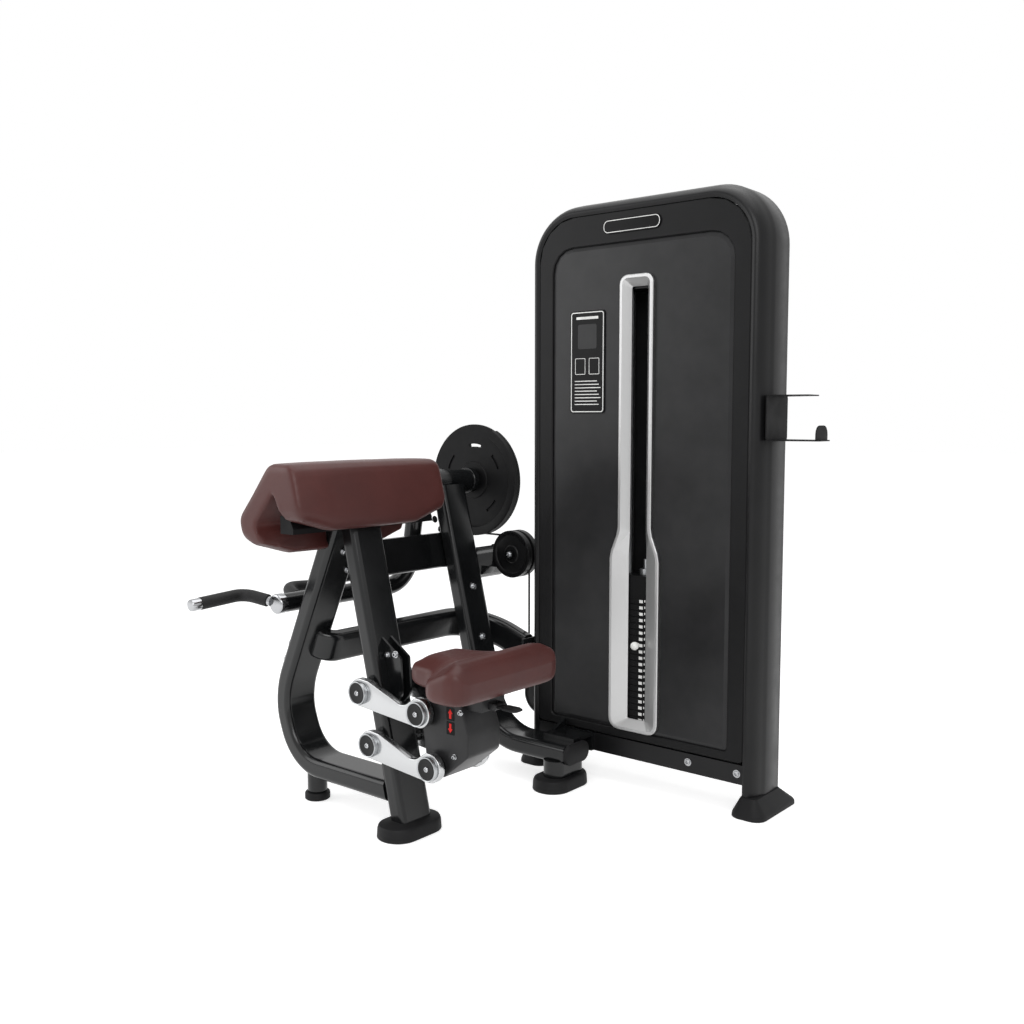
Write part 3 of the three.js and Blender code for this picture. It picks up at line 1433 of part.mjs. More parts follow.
function cableRun() {
  const upX = bottomPulleyX() + BOTTOM_PULLEY.groove;
  const line = [
    { x: PIVOT.x, z: TRACK_Z },
    { x: CABLE_DROP_X, z: TRACK_Z, r: SMALL_PULLEY.groove },
    { x: CABLE_DROP_X, z: BOTTOM_PULLEY_Z - BOTTOM_PULLEY.groove, r: BOTTOM_PULLEY.groove },
    { x: upX, z: BOTTOM_PULLEY_Z - BOTTOM_PULLEY.groove, r: BOTTOM_PULLEY.groove },
    { x: upX, z: TOP_CABLE_Z, r: TOP_PULLEY.groove },
    { x: 0, z: TOP_CABLE_Z, r: TOP_PULLEY.groove },
    { x: 0, z: TOP_PULLEY_Z - CABLE.radius },
  ];
  return upright(bentTube(CABLE_SECTION, line, CABLE.bendStep), CABLE_Y);
}

function stackCable() {
  const line = [
    { x: 0, z: EYE_TOP + TOUCH },
    { x: 0, z: TOP_PULLEY_Z - CABLE.radius - TOUCH },
  ];
  return upright(bentTube(CABLE_SECTION, line), CABLE_Y);
}

add(drive, 'pivot_housing', pivotHousing(), 'frame');
add(drive, 'pulley_arm', pulleyArm(), 'frame');
add(drive, 'pivot_shaft', pivotShaft(), 'steel');
add(drive, 'cam_disc', camDisc(), 'pulley');
[
  ['small_pulley', pulley(SMALL_PULLEY, FINE_STEP), SMALL_PULLEY_X, SMALL_PULLEY_Z],
  ['bottom_pulley', pulley(BOTTOM_PULLEY), bottomPulleyX(), BOTTOM_PULLEY_Z],
  ['corner_pulley', pulley(TOP_PULLEY), CORNER_PULLEY_X, TOP_PULLEY_Z],
  ['centre_pulley', pulley(TOP_PULLEY), CENTRE_PULLEY_X, TOP_PULLEY_Z],
].forEach(([name, wheel, x, z]) => add(drive, name, wheel, 'pulley').position.set(x, CABLE_Y, z));
add(drive, 'cable_run', cableRun(), 'cable');
add(drive, 'stack_cable', stackCable(), 'cable');

// Swing arm and its grips

const arm = new THREE.Group();
machine.add(arm);

function swingArm() {
  const from = new THREE.Vector3(PIVOT.x, ARM.y, PIVOT.z);
  const elbow = new THREE.Vector3(ARM.elbowX, ARM.y, ARM.elbowZ);
  const end = new THREE.Vector3(ARM.elbowX, ARM.end, ARM.elbowZ);
  const tube = cornerTube(roundSection(ARM.radius), from, elbow, end, ARM.elbowRadius);
  const levels = [ARM.y - ARM.bossLength / 2, ARM.y + ARM.bossLength / 2];
  const boss = rodY(ARM.bossRadius, PIVOT.x, PIVOT.z, ...levels);
  const bore = rodY(SHAFT.radius + TOUCH, PIVOT.x, PIVOT.z, levels[0] - OVERRUN, levels[1] + OVERRUN);
  return cut(join(tube, boss), bore);
}

function armEndCap() {
  const { capRadius, capLength, capEdge, end, elbowX, elbowZ } = ARM;
  const profile = [
    [0, -capLength],
    [capRadius - capEdge, -capLength],
    [capRadius, capEdge - capLength],
    [capRadius, -TOUCH],
    [0, -TOUCH],
  ].map(([radius, y]) => new THREE.Vector2(radius, y));
  return new THREE.LatheGeometry(profile, facets(TUBE_STEP)).translate(elbowX, end, elbowZ);
}

// The three points of a grip bar: at the arm's axis, at its bend and at its tip.
function gripPoints(side) {
  const { middleY, rootOffset, bendOffset, outward, length, rise, drop } = GRIP;
  const x = ARM.elbowX - outward;
  const bendY = middleY + side * bendOffset;
  return [
    new THREE.Vector3(ARM.elbowX, middleY + side * rootOffset, ARM.elbowZ),
    new THREE.Vector3(x, bendY, ARM.elbowZ + rise),
    new THREE.Vector3(x, bendY + side * length, ARM.elbowZ + rise - drop),
  ];
}

function gripBar(side) {
  const [root, bend, tip] = gripPoints(side);
  const bar = cornerTube(roundSection(GRIP.barRadius), root, bend, tip, GRIP.bendRadius);
  const neck = tip.clone().lerp(bend, GRIP.tipLength / GRIP.length);
  const knob = rodBetween(GRIP.tipRadius, neck, tip);
  const end = ARM.end - ARM.capLength - OVERRUN;
  const tubeRoom = rodY(ARM.radius + TOUCH, ARM.elbowX, ARM.elbowZ, end, ARM.y, FINE_STEP);
  const capRoom = rodY(ARM.capRadius + TOUCH, ARM.elbowX, ARM.elbowZ, end, ARM.end);
  return cut(join(bar, knob), tubeRoom, capRoom);
}

// The rubber sleeve round a grip bar.
function gripSleeve(side) {
  const [root, bend, tip] = gripPoints(side);
  const from = root.clone().lerp(bend, (ARM.capRadius + GRIP.rubberStart) / GRIP.outward);
  const to = tip.clone().lerp(bend, (GRIP.tipLength + TOUCH) / GRIP.length);
  const outside = cornerTube(roundSection(GRIP.rubberRadius), from, bend, to, GRIP.bendRadius);
  const inside = cornerTube(roundSection(GRIP.barRadius + TOUCH), root, bend, tip, GRIP.bendRadius);
  return cut(outside, inside);
}

add(arm, 'swing_arm', swingArm(), 'frame');
add(arm, 'arm_end_cap', armEndCap(), 'chrome');
[-1, 1].forEach((side) => {
  const place = side < 0 ? 'front' : 'back';
  add(arm, `grip_bar_${place}`, gripBar(side), 'chrome');
  add(arm, `grip_${place}`, gripSleeve(side), 'grip');
});

// Seat: links, pins, carriage, pad and lever

const seat = new THREE.Group();
machine.add(seat);

const CARRIAGE_UPPER = { x: LINK.upperX + LINK.runX, z: LINK.upperZ + LINK.runZ };
const CARRIAGE_LOWER = { x: LINK.lowerX + LINK.runX, z: LINK.lowerZ + LINK.runZ };

// Link plate: a boss at each end, a straight lower edge and a scooped upper one.
function link(from, plane) {
  const length = Math.hypot(LINK.runX, LINK.runZ);
  const corners = LINK_SCOOP_SHARES.map(([alongShare, acrossShare, roundShare]) => ({
    x: alongShare * length,
    z: acrossShare * LINK.bossRadius,
    r: roundShare * LINK.bossRadius,
  }));
  const { bossRadius } = LINK;
  const boss = bossRadius - ROUND_SHY;
  const outline = roundedOutline([
    { x: -bossRadius, z: -bossRadius, r: boss },
    { x: length + bossRadius, z: -bossRadius, r: boss },
    { x: length + bossRadius, z: bossRadius, r: boss },
    ...corners,
    { x: -bossRadius, z: bossRadius, r: boss },
  ]);
  const y = FRONT_FRAME_Y + plane;
  const plate = slabY(outline, y - LINK.thickness / 2, y + LINK.thickness / 2);
  plate.rotateY(Math.atan2(-LINK.runZ, LINK.runX)).translate(from.x, 0, from.z);
  const bores = [from, { x: from.x + LINK.runX, z: from.z + LINK.runZ }].map((p) =>
    rodY(LINK.pinRadius + RUNNING, p.x, p.z, y - LINK.thickness, y + LINK.thickness),
  );
  return cut(plate, ...bores);
}

// Axle, barrels and end caps of a link joint, with the barrels starting at a distance inside.
function linkJoint(p, inside) {
  const { planeOffset, thickness, pinRadius, barrelRadius, capRadius, capThickness } = LINK;
  const inner = planeOffset - thickness / 2 - RUNNING;
  const outer = planeOffset + thickness / 2 + RUNNING;
  const pieces = [-1, 1].flatMap((side) => {
    const span = (near, far) => [near, far].map((d) => FRONT_FRAME_Y + side * d).sort((a, b) => a - b);
    return [
      rodY(barrelRadius, p.x, p.z, ...span(inside, inner)),
      rodY(capRadius, p.x, p.z, ...span(outer, outer + capThickness)),
    ];
  });
  const reach = outer + capThickness / 2;
  const axle = rodY(pinRadius, p.x, p.z, FRONT_FRAME_Y - reach, FRONT_FRAME_Y + reach);
  return join(axle, ...pieces);
}

// A link pin through the front post.
function postPin(p) {
  const room = bentTube(flatOval(TUBE.breadth + 2 * TOUCH, TUBE.thickness + 2 * TOUCH), [
    { x: postX(LEG_Z), z: LEG_Z },
    { x: postX(FRONT_POST.top), z: FRONT_POST.top },
  ]);
  const bored = cut(
    upright(room, FRONT_FRAME_Y),
    rodY(LINK.pinRadius, p.x, p.z, FRONT_FRAME_Y - TUBE.breadth, FRONT_FRAME_Y + TUBE.breadth),
  );
  return cut(linkJoint(p, TUBE.breadth / 2 - OVERRUN), bored);
}

function carriage() {
  const { halfDepth, edge, boxLeft, boxRight, boxBottom, boxHalfDepth } = CARRIAGE;
  const depth = [FRONT_FRAME_Y - halfDepth, FRONT_FRAME_Y + halfDepth];
  const body = slabY(roundedOutline(CARRIAGE_OUTLINE), ...depth, edge);
  const y = [FRONT_FRAME_Y - boxHalfDepth, FRONT_FRAME_Y + boxHalfDepth];
  const top = block([boxLeft, boxRight], y, [boxBottom, SEAT.bottom - TOUCH]);
  const ears = [-1, 1].map((side) => {
    const near = FRONT_FRAME_Y + side * (LEVER.halfWidth + RUNNING);
    const far = near + side * LEVER.ear;
    return block(
      [boxRight - OVERRUN, LEVER.rootX + LEVER.rootRadius],
      [Math.min(near, far), Math.max(near, far)],
      [LEVER.rootZ - LEVER.rootRadius, LEVER.rootZ + LEVER.rootRadius],
    );
  });
  const reach = LEVER.halfWidth + LEVER.ear;
  const pin = rodY(LEVER.pinRadius, LEVER.rootX, LEVER.rootZ, FRONT_FRAME_Y - reach, FRONT_FRAME_Y + reach);
  const joints = [CARRIAGE_UPPER, CARRIAGE_LOWER].map((p) => linkJoint(p, halfDepth - OVERRUN));
  return join(body, top, ...ears, pin, ...joints);
}

function seatLever() {
  const { rootX, rootZ, rootRadius, halfWidth, pinRadius, reach, stem } = LEVER;
  const y = [FRONT_FRAME_Y - halfWidth, FRONT_FRAME_Y + halfWidth];
  const hub = rodY(rootRadius, rootX, rootZ, ...y);
  const bar = block([rootX, rootX + reach], y, [rootZ - stem / 2, rootZ + stem / 2]);
  const paddle = slabZ(
    roundedOutline([
      { x: rootX + reach - PADDLE.length, z: FRONT_FRAME_Y - PADDLE.halfWidth, r: stem },
      { x: rootX + reach, z: FRONT_FRAME_Y - PADDLE.halfWidth, r: PADDLE.halfWidth - stem },
      { x: rootX + reach, z: FRONT_FRAME_Y + PADDLE.halfWidth, r: PADDLE.halfWidth - stem },
      { x: rootX + reach - PADDLE.length, z: FRONT_FRAME_Y + PADDLE.halfWidth, r: stem },
    ]),
    rootZ - PADDLE.thickness / 2,
    rootZ + PADDLE.thickness / 2,
    stem / 2,
  );
  const bore = rodY(pinRadius + RUNNING, rootX, rootZ, y[0] - OVERRUN, y[1] + OVERRUN);
  return cut(join(hub, bar, paddle), bore);
}

// The seat's plan, closed on both sides of the middle.
function seatCorners() {
  const near = SEAT_PLAN.map((corner) => ({ ...corner, z: -corner.z }));
  return [...near, ...SEAT_PLAN.map((corner) => ({ ...corner })).reverse()];
}

// A broad seat with a narrow nose, rounded at every edge, domed, and raised along its rear edge.
function seatPad() {
  const { bottom, side, edge, crown, rearRise, riseFrom, riseTo, domeShares, segments } = SEAT;
  const walls = softLevels(bottom, side, edge, 1);
  const domeLevel = ([insetShare, riseShare]) => [side + riseShare * crown, edge + insetShare * crown];
  const dome = domeShares.map(domeLevel);
  const place = (p, level) => {
    const height = Math.min(1, (level - bottom) / (side - bottom));
    const rise = rearRise * THREE.MathUtils.smoothstep(p.x, riseFrom, riseTo) * height;
    return new THREE.Vector3(p.x, FRONT_FRAME_Y + p.y, level + rise);
  };
  return loft(softRings([...walls, ...dome], seatCorners, segments, place));
}

// Two side plates and a top plate on the front post, beside the seat's nose.
function seatBracket() {
  const { thickness, width, bottom, top, reach, footShare, headShare, faceShare } = SEAT_BRACKET;
  const length = (top - bottom) * Math.hypot(1, FRONT_POST.lean);
  const face = TUBE.thickness / 2 + TOUCH;
  const outline = roundedOutline([
    { x: face, z: 0, r: 0 },
    { x: face + reach * faceShare, z: length * footShare, r: reach / 2 },
    { x: face + reach, z: length * headShare, r: thickness },
    { x: face, z: length, r: 0 },
  ]);
  const plate = (side) => {
    const y = side * (width / 2) - (side > 0 ? thickness : 0);
    return slabY(outline, y, y + thickness);
  };
  const back = block([face, face + thickness], [-width / 2, width / 2], [0, length * headShare]);
  return alongPost(join(plate(-1), plate(1), back), FRONT_POST.lean, postX(bottom), bottom, FRONT_FRAME_Y);
}

add(seat, 'seat_bracket', seatBracket(), 'frame');
add(seat, 'link_pin_upper', postPin(LINK_UPPER), 'steel');
add(seat, 'link_pin_lower', postPin(LINK_LOWER), 'steel');
[-1, 1].forEach((side) => {
  const place = side < 0 ? 'front' : 'back';
  add(seat, `link_upper_${place}`, link(LINK_UPPER, side * LINK.planeOffset), 'polished');
  add(seat, `link_lower_${place}`, link(LINK_LOWER, side * LINK.planeOffset), 'polished');
});
add(seat, 'carriage', carriage(), 'frame');
add(seat, 'seat_pad', seatPad(), 'leather');
add(seat, 'seat_lever', seatLever(), 'frame');

const box = new THREE.Box3().setFromObject(machine);
machine.position.set(-(box.min.x + box.max.x) / 2, -(box.min.y + box.max.y) / 2, -box.min.z);

export default machine;
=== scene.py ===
"""Looks of a seated biceps curl machine, laid out as an add-on and run as a script."""

import math

import bpy
import numpy as np
from bpy.props import FloatProperty, FloatVectorProperty, IntProperty, PointerProperty
from mathutils import Matrix, Vector


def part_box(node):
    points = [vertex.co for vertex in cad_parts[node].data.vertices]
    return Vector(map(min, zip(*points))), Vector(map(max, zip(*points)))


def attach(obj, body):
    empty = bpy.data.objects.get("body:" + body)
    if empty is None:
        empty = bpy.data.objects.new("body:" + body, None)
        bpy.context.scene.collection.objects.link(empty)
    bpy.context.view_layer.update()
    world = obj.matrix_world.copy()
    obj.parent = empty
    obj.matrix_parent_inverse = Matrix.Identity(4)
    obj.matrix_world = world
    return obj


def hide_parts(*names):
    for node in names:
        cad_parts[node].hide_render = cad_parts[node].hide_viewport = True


bl_info = {
    "name": "Biceps curl machine",
    "version": (1, 0, 0),
    "blender": (4, 5, 0),
    "location": "View3D > Sidebar > Curl machine",
    "description": "Dresses the jointed CAD model of a weight-stack curl machine",
    "category": "Object",
}

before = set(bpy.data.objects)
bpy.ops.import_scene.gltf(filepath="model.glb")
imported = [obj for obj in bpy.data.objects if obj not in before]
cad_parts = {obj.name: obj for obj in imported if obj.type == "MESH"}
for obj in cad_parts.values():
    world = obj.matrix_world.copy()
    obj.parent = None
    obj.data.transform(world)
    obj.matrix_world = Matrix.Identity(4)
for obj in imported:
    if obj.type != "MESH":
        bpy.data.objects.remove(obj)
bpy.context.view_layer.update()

MM = 0.001
# Sizes are millimetres from the middle of the tower's front face, at the floor.
# This is where that point stands in the CAD frame.
MIDDLE = Vector((149.1, 327.97, 0.0))
UPRIGHT = (0, 1, 0)

# Planes across y: the front frame with the seat, the rear post, and the cable.
FRONT_Y = -590
REAR_Y = -89
CABLE_Y = 60

# Pivots as (x, z): the swing arm's, and each link's on the post with its run to the carriage.
PIVOT = (-622, 814)
UPPER_LINK = (-341, 343)
LOWER_LINK = (-307, 221)
LINK_RUN = (197, -17)

# One end of each post as (x, z), and how far it leans in x for its height.
POST_FOOT = (-254, 33)
POST_LEAN = 0.2403
REAR_HEAD = (-593, 800)
REAR_LEAN = 0.2485

# Faces that meet at less than this angle are shaded as one.
SMOOTH = math.radians(34)
TUBE_EDGE = math.radians(24)
TOWER_EDGE = math.radians(50)
HIDE_EDGE = math.radians(80)
# Degrees of a bend or a rounded corner that one facet takes.
TURN_STEP = 6
ARC_STEP = 9
# Vertices closer than this, in metres, are one.
SAME_PLACE = 1e-6


def linear(code):
    """A hex sRGB colour as the linear RGBA that Blender's shaders take."""
    parts = [int(code[i : i + 2], 16) / 255 for i in (1, 3, 5)]
    return tuple(c / 12.92 if c <= 0.04045 else ((c + 0.055) / 1.055) ** 2.4 for c in parts) + (1.0,)


def opaque(tone):
    """A colour from a property as RGBA."""
    return tuple(tone) + (1.0,)


def at(x, y, z):
    """A point in the tower's millimetres as a place in the CAD frame."""
    return (Vector((x, y, z)) + MIDDLE) * MM


def colour(name, code, words):
    limits = {"subtype": "COLOR", "size": 3, "min": 0, "max": 1}
    return FloatVectorProperty(name=name, description=words, default=linear(code)[:3], **limits)


def length(name, words, start):
    return FloatProperty(name=name, description=words, default=start, unit="LENGTH")


class CurlMachineFinish(bpy.types.PropertyGroup):
    """Colours of the machine's main finishes."""

    enamel: colour("Frame enamel", "#131415", "Gloss powder coat on the frame tubes")
    tower: colour("Tower enamel", "#131314", "Satin powder coat on the tower's bent tube")
    leather: colour("Upholstery", "#4a2421", "Synthetic leather on the arm pad and the seat")
    panel: colour("Front panel", "#212122", "Textured panel inside the bezel")
    bezel: colour("Bezel", "#101011", "Moulded surround of the panel")


class CurlMachineSizes(bpy.types.PropertyGroup):
    """Sizes a user might change."""

    pad_swell: length("Arm pad swell", "How far the arm pad may swell", 0.005)
    seat_swell: length("Seat swell", "How far the seat may swell", 0.006)
    voxel: length("Foam voxel", "Voxel size of the padded pieces", 0.005)
    steps: IntProperty(name="Cloth frames", description="Frames of cloth simulation", default=20, min=1)


# Modelling helpers


def deselect():
    if bpy.context.object and bpy.context.object.mode != "OBJECT":
        bpy.ops.object.mode_set(mode="OBJECT")
    bpy.ops.object.select_all(action="DESELECT")


def only(piece):
    deselect()
    piece.select_set(True)
    bpy.context.view_layer.objects.active = piece


def edit(piece):
    only(piece)
    bpy.ops.object.mode_set(mode="EDIT")
    bpy.ops.mesh.select_all(action="SELECT")


def face_outwards():
    """Turns all faces outwards and leaves edit mode."""
    bpy.ops.mesh.select_all(action="SELECT")
    bpy.ops.mesh.normals_make_consistent(inside=False)
    bpy.ops.object.mode_set(mode="OBJECT")


def close_up():
    """Caps the open ends, in edit mode, and leaves it."""
    bpy.ops.mesh.select_all(action="DESELECT")
    bpy.ops.mesh.select_mode(type="EDGE")
    bpy.ops.mesh.select_non_manifold()
    bpy.ops.mesh.fill_holes(sides=0)
    bpy.ops.mesh.select_mode(type="VERT")
    face_outwards()


def apply_modifier(piece, kind, **settings):
    only(piece)
    modifier = piece.modifiers.new(kind.lower(), kind)
    for key, value in settings.items():
        setattr(modifier, key, value)
    bpy.ops.object.modifier_apply(modifier=modifier.name)


def ease_edges(piece, width, segments=2, angle=40):
    """Rounds the hard edges of a piece by a small bevel, in millimetres."""
    limit = {"limit_method": "ANGLE", "angle_limit": math.radians(angle)}
    apply_modifier(piece, "BEVEL", width=width * MM, segments=segments, **limit)


def ring(places, filled=False):
    """A loop of vertices at the given places, made from a circle primitive."""
    deselect()
    fill = "NGON" if filled else "NOTHING"
    bpy.ops.mesh.primitive_circle_add(vertices=len(places), radius=0.1, fill_type=fill, location=(0, 0, 0))
    piece = bpy.context.object
    for vertex, place in zip(piece.data.vertices, places):
        vertex.co = place
    return piece


def tube_section(breadth, thickness, radius=14, lead=1.2, count=6):
    """Flat sides with rolled corners, as pairs across the path's plane and in it.

    A short lead beside each corner keeps the shading of the flats flat.
    """
    pairs = []
    wide, narrow = breadth / 2 - radius, thickness / 2 - radius
    for turn, (x, y) in enumerate(((wide, narrow), (-wide, narrow), (-wide, -narrow), (wide, -narrow))):
        start = turn * math.pi / 2
        c, s = math.cos(start), math.sin(start)
        arc = [start + math.pi / 2 * k / count for k in range(count + 1)]
        points = [(x + radius * math.cos(a), y + radius * math.sin(a)) for a in arc]
        first, last = points[0], points[-1]
        pairs.append((first[0] + lead * s, first[1] - lead * c))
        pairs += points
        pairs.append((last[0] - lead * c, last[1] - lead * s))
    return pairs


def round_section(radius, count=32):
    angles = [2 * math.pi * k / count for k in range(count)]
    return [(radius * math.cos(angle), radius * math.sin(angle)) for angle in angles]


def sweep(section, corners, normal):
    """A tube bent round corners ((x, y, z), radius) in one plane: extruded straights, spun bends."""
    places = [at(*corner) for corner, _ in corners]
    normal = Vector(normal).normalized()
    heading = (places[1] - places[0]).normalized()
    side = heading.cross(normal)
    piece = ring([places[0] + (normal * a + side * b) * MM for a, b in section])
    edit(piece)
    here = places[0]
    for i in range(1, len(places) - 1):
        ahead = (places[i + 1] - places[i]).normalized()
        turn = heading.angle(ahead)
        axis = heading.cross(ahead).normalized()
        radius = corners[i][1] * MM
        reach = radius * math.tan(turn / 2)
        begin = places[i] - heading * reach
        bpy.ops.mesh.extrude_region_move(TRANSFORM_OT_translate={"value": begin - here})
        centre = begin + axis.cross(heading) * radius
        steps = max(2, math.ceil(math.degrees(turn) / TURN_STEP))
        # Spin turns against the right-hand rule here, so the angle is negative.
        bpy.ops.mesh.spin(steps=steps, angle=-turn, center=centre, axis=axis)
        here = places[i] + ahead * reach
        heading = ahead
    bpy.ops.mesh.extrude_region_move(TRANSFORM_OT_translate={"value": places[-1] - here})
    close_up()
    return piece


def flat_tube(line, normal=UPRIGHT, breadth=100, thickness=50):
    """A bent flat tube with rolled corners."""
    return sweep(tube_section(breadth, thickness), line, normal)


def trim(piece, point, outward):
    """Cuts a piece flat and keeps what lies behind the plane."""
    edit(piece)
    cut = {"plane_co": at(*point), "plane_no": Vector(outward).normalized()}
    bpy.ops.mesh.bisect(**cut, use_fill=True, clear_outer=True)
    face_outwards()


def turned(profile, centre, axis=UPRIGHT, steps=64, start=None, sweep_angle=math.tau):
    """A lathe shape from (radius, along the axis) pairs round a centre in millimetres."""
    axis = Vector(axis).normalized()
    middle = at(*centre)
    outward = Vector(start) if start else axis.orthogonal().normalized()
    piece = ring([middle + (outward * radius + axis * along) * MM for radius, along in profile])
    edit(piece)
    bpy.ops.mesh.spin(steps=steps, angle=sweep_angle, center=middle, axis=axis)
    if sweep_angle < math.tau:
        close_up()
        return piece
    bpy.ops.mesh.select_all(action="SELECT")
    bpy.ops.mesh.remove_doubles(threshold=SAME_PLACE)
    bpy.ops.mesh.dissolve_degenerate(threshold=SAME_PLACE)
    bpy.ops.mesh.delete_loose()
    face_outwards()
    return piece


def rounded(corners, step=ARC_STEP):
    """An outline through (x, z, radius) corners, each rounded by an arc."""
    points = []
    for i, (x, z, radius) in enumerate(corners):
        here = Vector((x, z))
        if radius <= 0:
            points.append(here)
            continue
        back = (Vector(corners[i - 1][:2]) - here).normalized()
        ahead = (Vector(corners[(i + 1) % len(corners)][:2]) - here).normalized()
        opening = back.angle(ahead)
        turn = math.pi - opening
        centre = here + (back + ahead).normalized() * radius / math.sin(opening / 2)
        start = here + back * radius / math.tan(opening / 2) - centre
        sign = -1 if back.x * ahead.y - back.y * ahead.x > 0 else 1
        count = max(1, math.ceil(math.degrees(turn) / step))
        for k in range(count + 1):
            angle = sign * turn * k / count
            c, s = math.cos(angle), math.sin(angle)
            points.append(centre + Vector((start.x * c - start.y * s, start.x * s + start.y * c)))
    return points


def oblong(left, bottom, right, top, radius=0, step=ARC_STEP):
    """The outline of a rectangle with rounded corners."""
    sides = ((left, bottom), (right, bottom), (right, top), (left, top))
    return rounded([(x, z, radius) for x, z in sides], step)


def plate(places, thickness, edge=0.0, segments=2):
    """A flat plate from an outline of places in millimetres, extruded by a vector."""
    piece = ring([at(*place) for place in places], filled=True)
    edit(piece)
    bpy.ops.mesh.extrude_region_move(TRANSFORM_OT_translate={"value": Vector(thickness) * MM})
    face_outwards()
    if edge:
        ease_edges(piece, edge, segments)
    return piece


def plate_y(outline, front, back, edge=0.0, segments=2):
    """A flat plate across y from an outline of (x, z) points."""
    return plate([(p[0], front, p[1]) for p in outline], (0, back - front, 0), edge, segments)


def rod(start, end, radius, sides=32, edge=0.6):
    """A round bar between two places in millimetres, with eased ends."""
    first, last = at(*start), at(*end)
    along = last - first
    deselect()
    bpy.ops.mesh.primitive_cylinder_add(vertices=sides, radius=radius * MM, depth=along.length)
    piece = bpy.context.object
    turn = along.to_track_quat("Z", "Y").to_matrix().to_4x4()
    piece.data.transform(Matrix.Translation((first + last) / 2) @ turn)
    if edge:
        ease_edges(piece, edge)
    return piece


def merged(*pieces):
    """One object from several, under the first one."""
    deselect()
    for piece in pieces:
        piece.select_set(True)
    bpy.context.view_layer.objects.active = pieces[0]
    if len(pieces) > 1:
        bpy.ops.object.join()
    return pieces[0]


def lofted(rings):
    """A skin over equal rings, bridged in edit mode and closed at both ends."""
    piece = merged(*[ring(places) for places in rings])
    edit(piece)
    bpy.ops.mesh.select_mode(type="EDGE")
    bpy.ops.mesh.bridge_edge_loops()
    close_up()
    return piece


def carved(piece, *tools):
    """Cuts the tools out of a piece."""
    for tool in tools:
        apply_modifier(piece, "BOOLEAN", operation="DIFFERENCE", object=tool, solver="EXACT")
        bpy.data.objects.remove(tool)
    return piece


def carry_copy(node):
    """A merged copy of a CAD node, to be finished further."""
    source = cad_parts[node]
    copy = source.copy()
    copy.data = source.data.copy()
    copy.parent = None
    bpy.context.collection.objects.link(copy)
    copy.data.transform(source.matrix_world)
    copy.matrix_world = Matrix.Identity(4)
    edit(copy)
    bpy.ops.mesh.remove_doubles(threshold=10 * SAME_PLACE)
    bpy.ops.object.mode_set(mode="OBJECT")
    return copy


def done(piece, name, finish, body="base", stands_for=(), angle=SMOOTH):
    """Names a finished piece, gives it its finish and hangs it on its body."""
    piece.name = name
    piece.data.name = name
    piece.data.materials.clear()
    piece.data.materials.append(FINISHES[finish])
    only(piece)
    bpy.ops.object.shade_smooth_by_angle(angle=angle)
    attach(piece, body)
    if stands_for:
        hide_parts(*stands_for)
    return piece


def give(node, finish):
    """Puts a finish on a CAD node that stays visible."""
    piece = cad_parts[node]
    if not piece.material_slots:
        piece.data.materials.append(FINISHES[finish])
    for slot in piece.material_slots:
        slot.material = FINISHES[finish]


# A screw on its washer, as (share of the head's radius, height), with the socket's well.
BOLT_SHARES = (
    (0, 0), (1.45, 0), (1.5, 0.6), (1.45, 1.8), (1.05, 2), (1, 2.4),
    (1, 6.4), (0.9, 7.2), (0.56, 7.4), (0.5, 3.2), (0, 3.2),
)


def bolts(places, normal, name, radius=8, body="base"):
    """Button head screws on washers, one turned at the origin and copied to each place."""
    profile = [(radius * share, height) for share, height in BOLT_SHARES]
    head = turned(profile, (-MIDDLE.x, -MIDDLE.y, 0), (0, 0, 1), 24)
    turn = Vector(normal).to_track_quat("Z", "Y").to_matrix().to_4x4()
    for k, place in enumerate(places):
        copy = head.copy()
        copy.data = head.data.copy()
        bpy.context.collection.objects.link(copy)
        copy.data.transform(Matrix.Translation(at(*place)) @ turn)
        done(copy, f"{name}_{k}", "chrome", body)
    bpy.data.objects.remove(head)


# Materials

# A cloud's tones: where the dark and the light one sit, and their shares of the base colour.
CLOUD_ENDS = (0.3, 0.7)
CLOUD_SHARES = (0.85, 1.2)


def add_node(tree, kind, values=None, links=None, stops=(), **settings):
    """Adds one shader node with its settings, a ramp's stops and its links from nodes or sockets."""
    node = tree.nodes.new(kind)
    for key, value in settings.items():
        setattr(node, key, value)
    for key, value in (values or {}).items():
        node.inputs[key].default_value = value
    for key, source in (links or {}).items():
        tree.links.new(getattr(source, "outputs", [source])[0], node.inputs[key])
    if stops:
        tones = node.color_ramp.elements
        tones[0].position, tones[0].color = stops[0]
        tones[-1].position, tones[-1].color = stops[-1]
        for position, shade in stops[1:-1]:
            tones.new(position).color = shade
    return node


def surface(name, base, roughness, metallic=0.0, gloss=0.5):
    """A principled surface: its material, tree, shader and the piece's own coordinates."""
    material = bpy.data.materials.new(name)
    material.use_nodes = True
    tree = material.node_tree
    shader = tree.nodes["Principled BSDF"]
    values = {"Base Color": base, "Roughness": roughness, "Metallic": metallic, "Specular IOR Level": gloss}
    for key, value in values.items():
        shader.inputs[key].default_value = value
    place = add_node(tree, "ShaderNodeTexCoord").outputs["Object"]
    return material, tree, shader, place


def feed(tree, shader, sources):
    """Links each node's first output to a socket of the surface."""
    for key, node in sources.items():
        tree.links.new(node.outputs[0], shader.inputs[key])


def grains(size_mm, detail):
    """Settings of a noise whose grains are about this wide."""
    return {"Scale": 1 / (size_mm * MM), "Detail": detail}


def spread(low, high):
    return {"To Min": low, "To Max": high}


def relief(depth_mm, strength):
    return {"Distance": depth_mm * MM, "Strength": strength}


def tint(shade, by):
    return tuple(min(1.0, c * by) for c in shade[:3]) + (1.0,)


def cloudy(base):
    return [(end, tint(base, share)) for end, share in zip(CLOUD_ENDS, CLOUD_SHARES)]


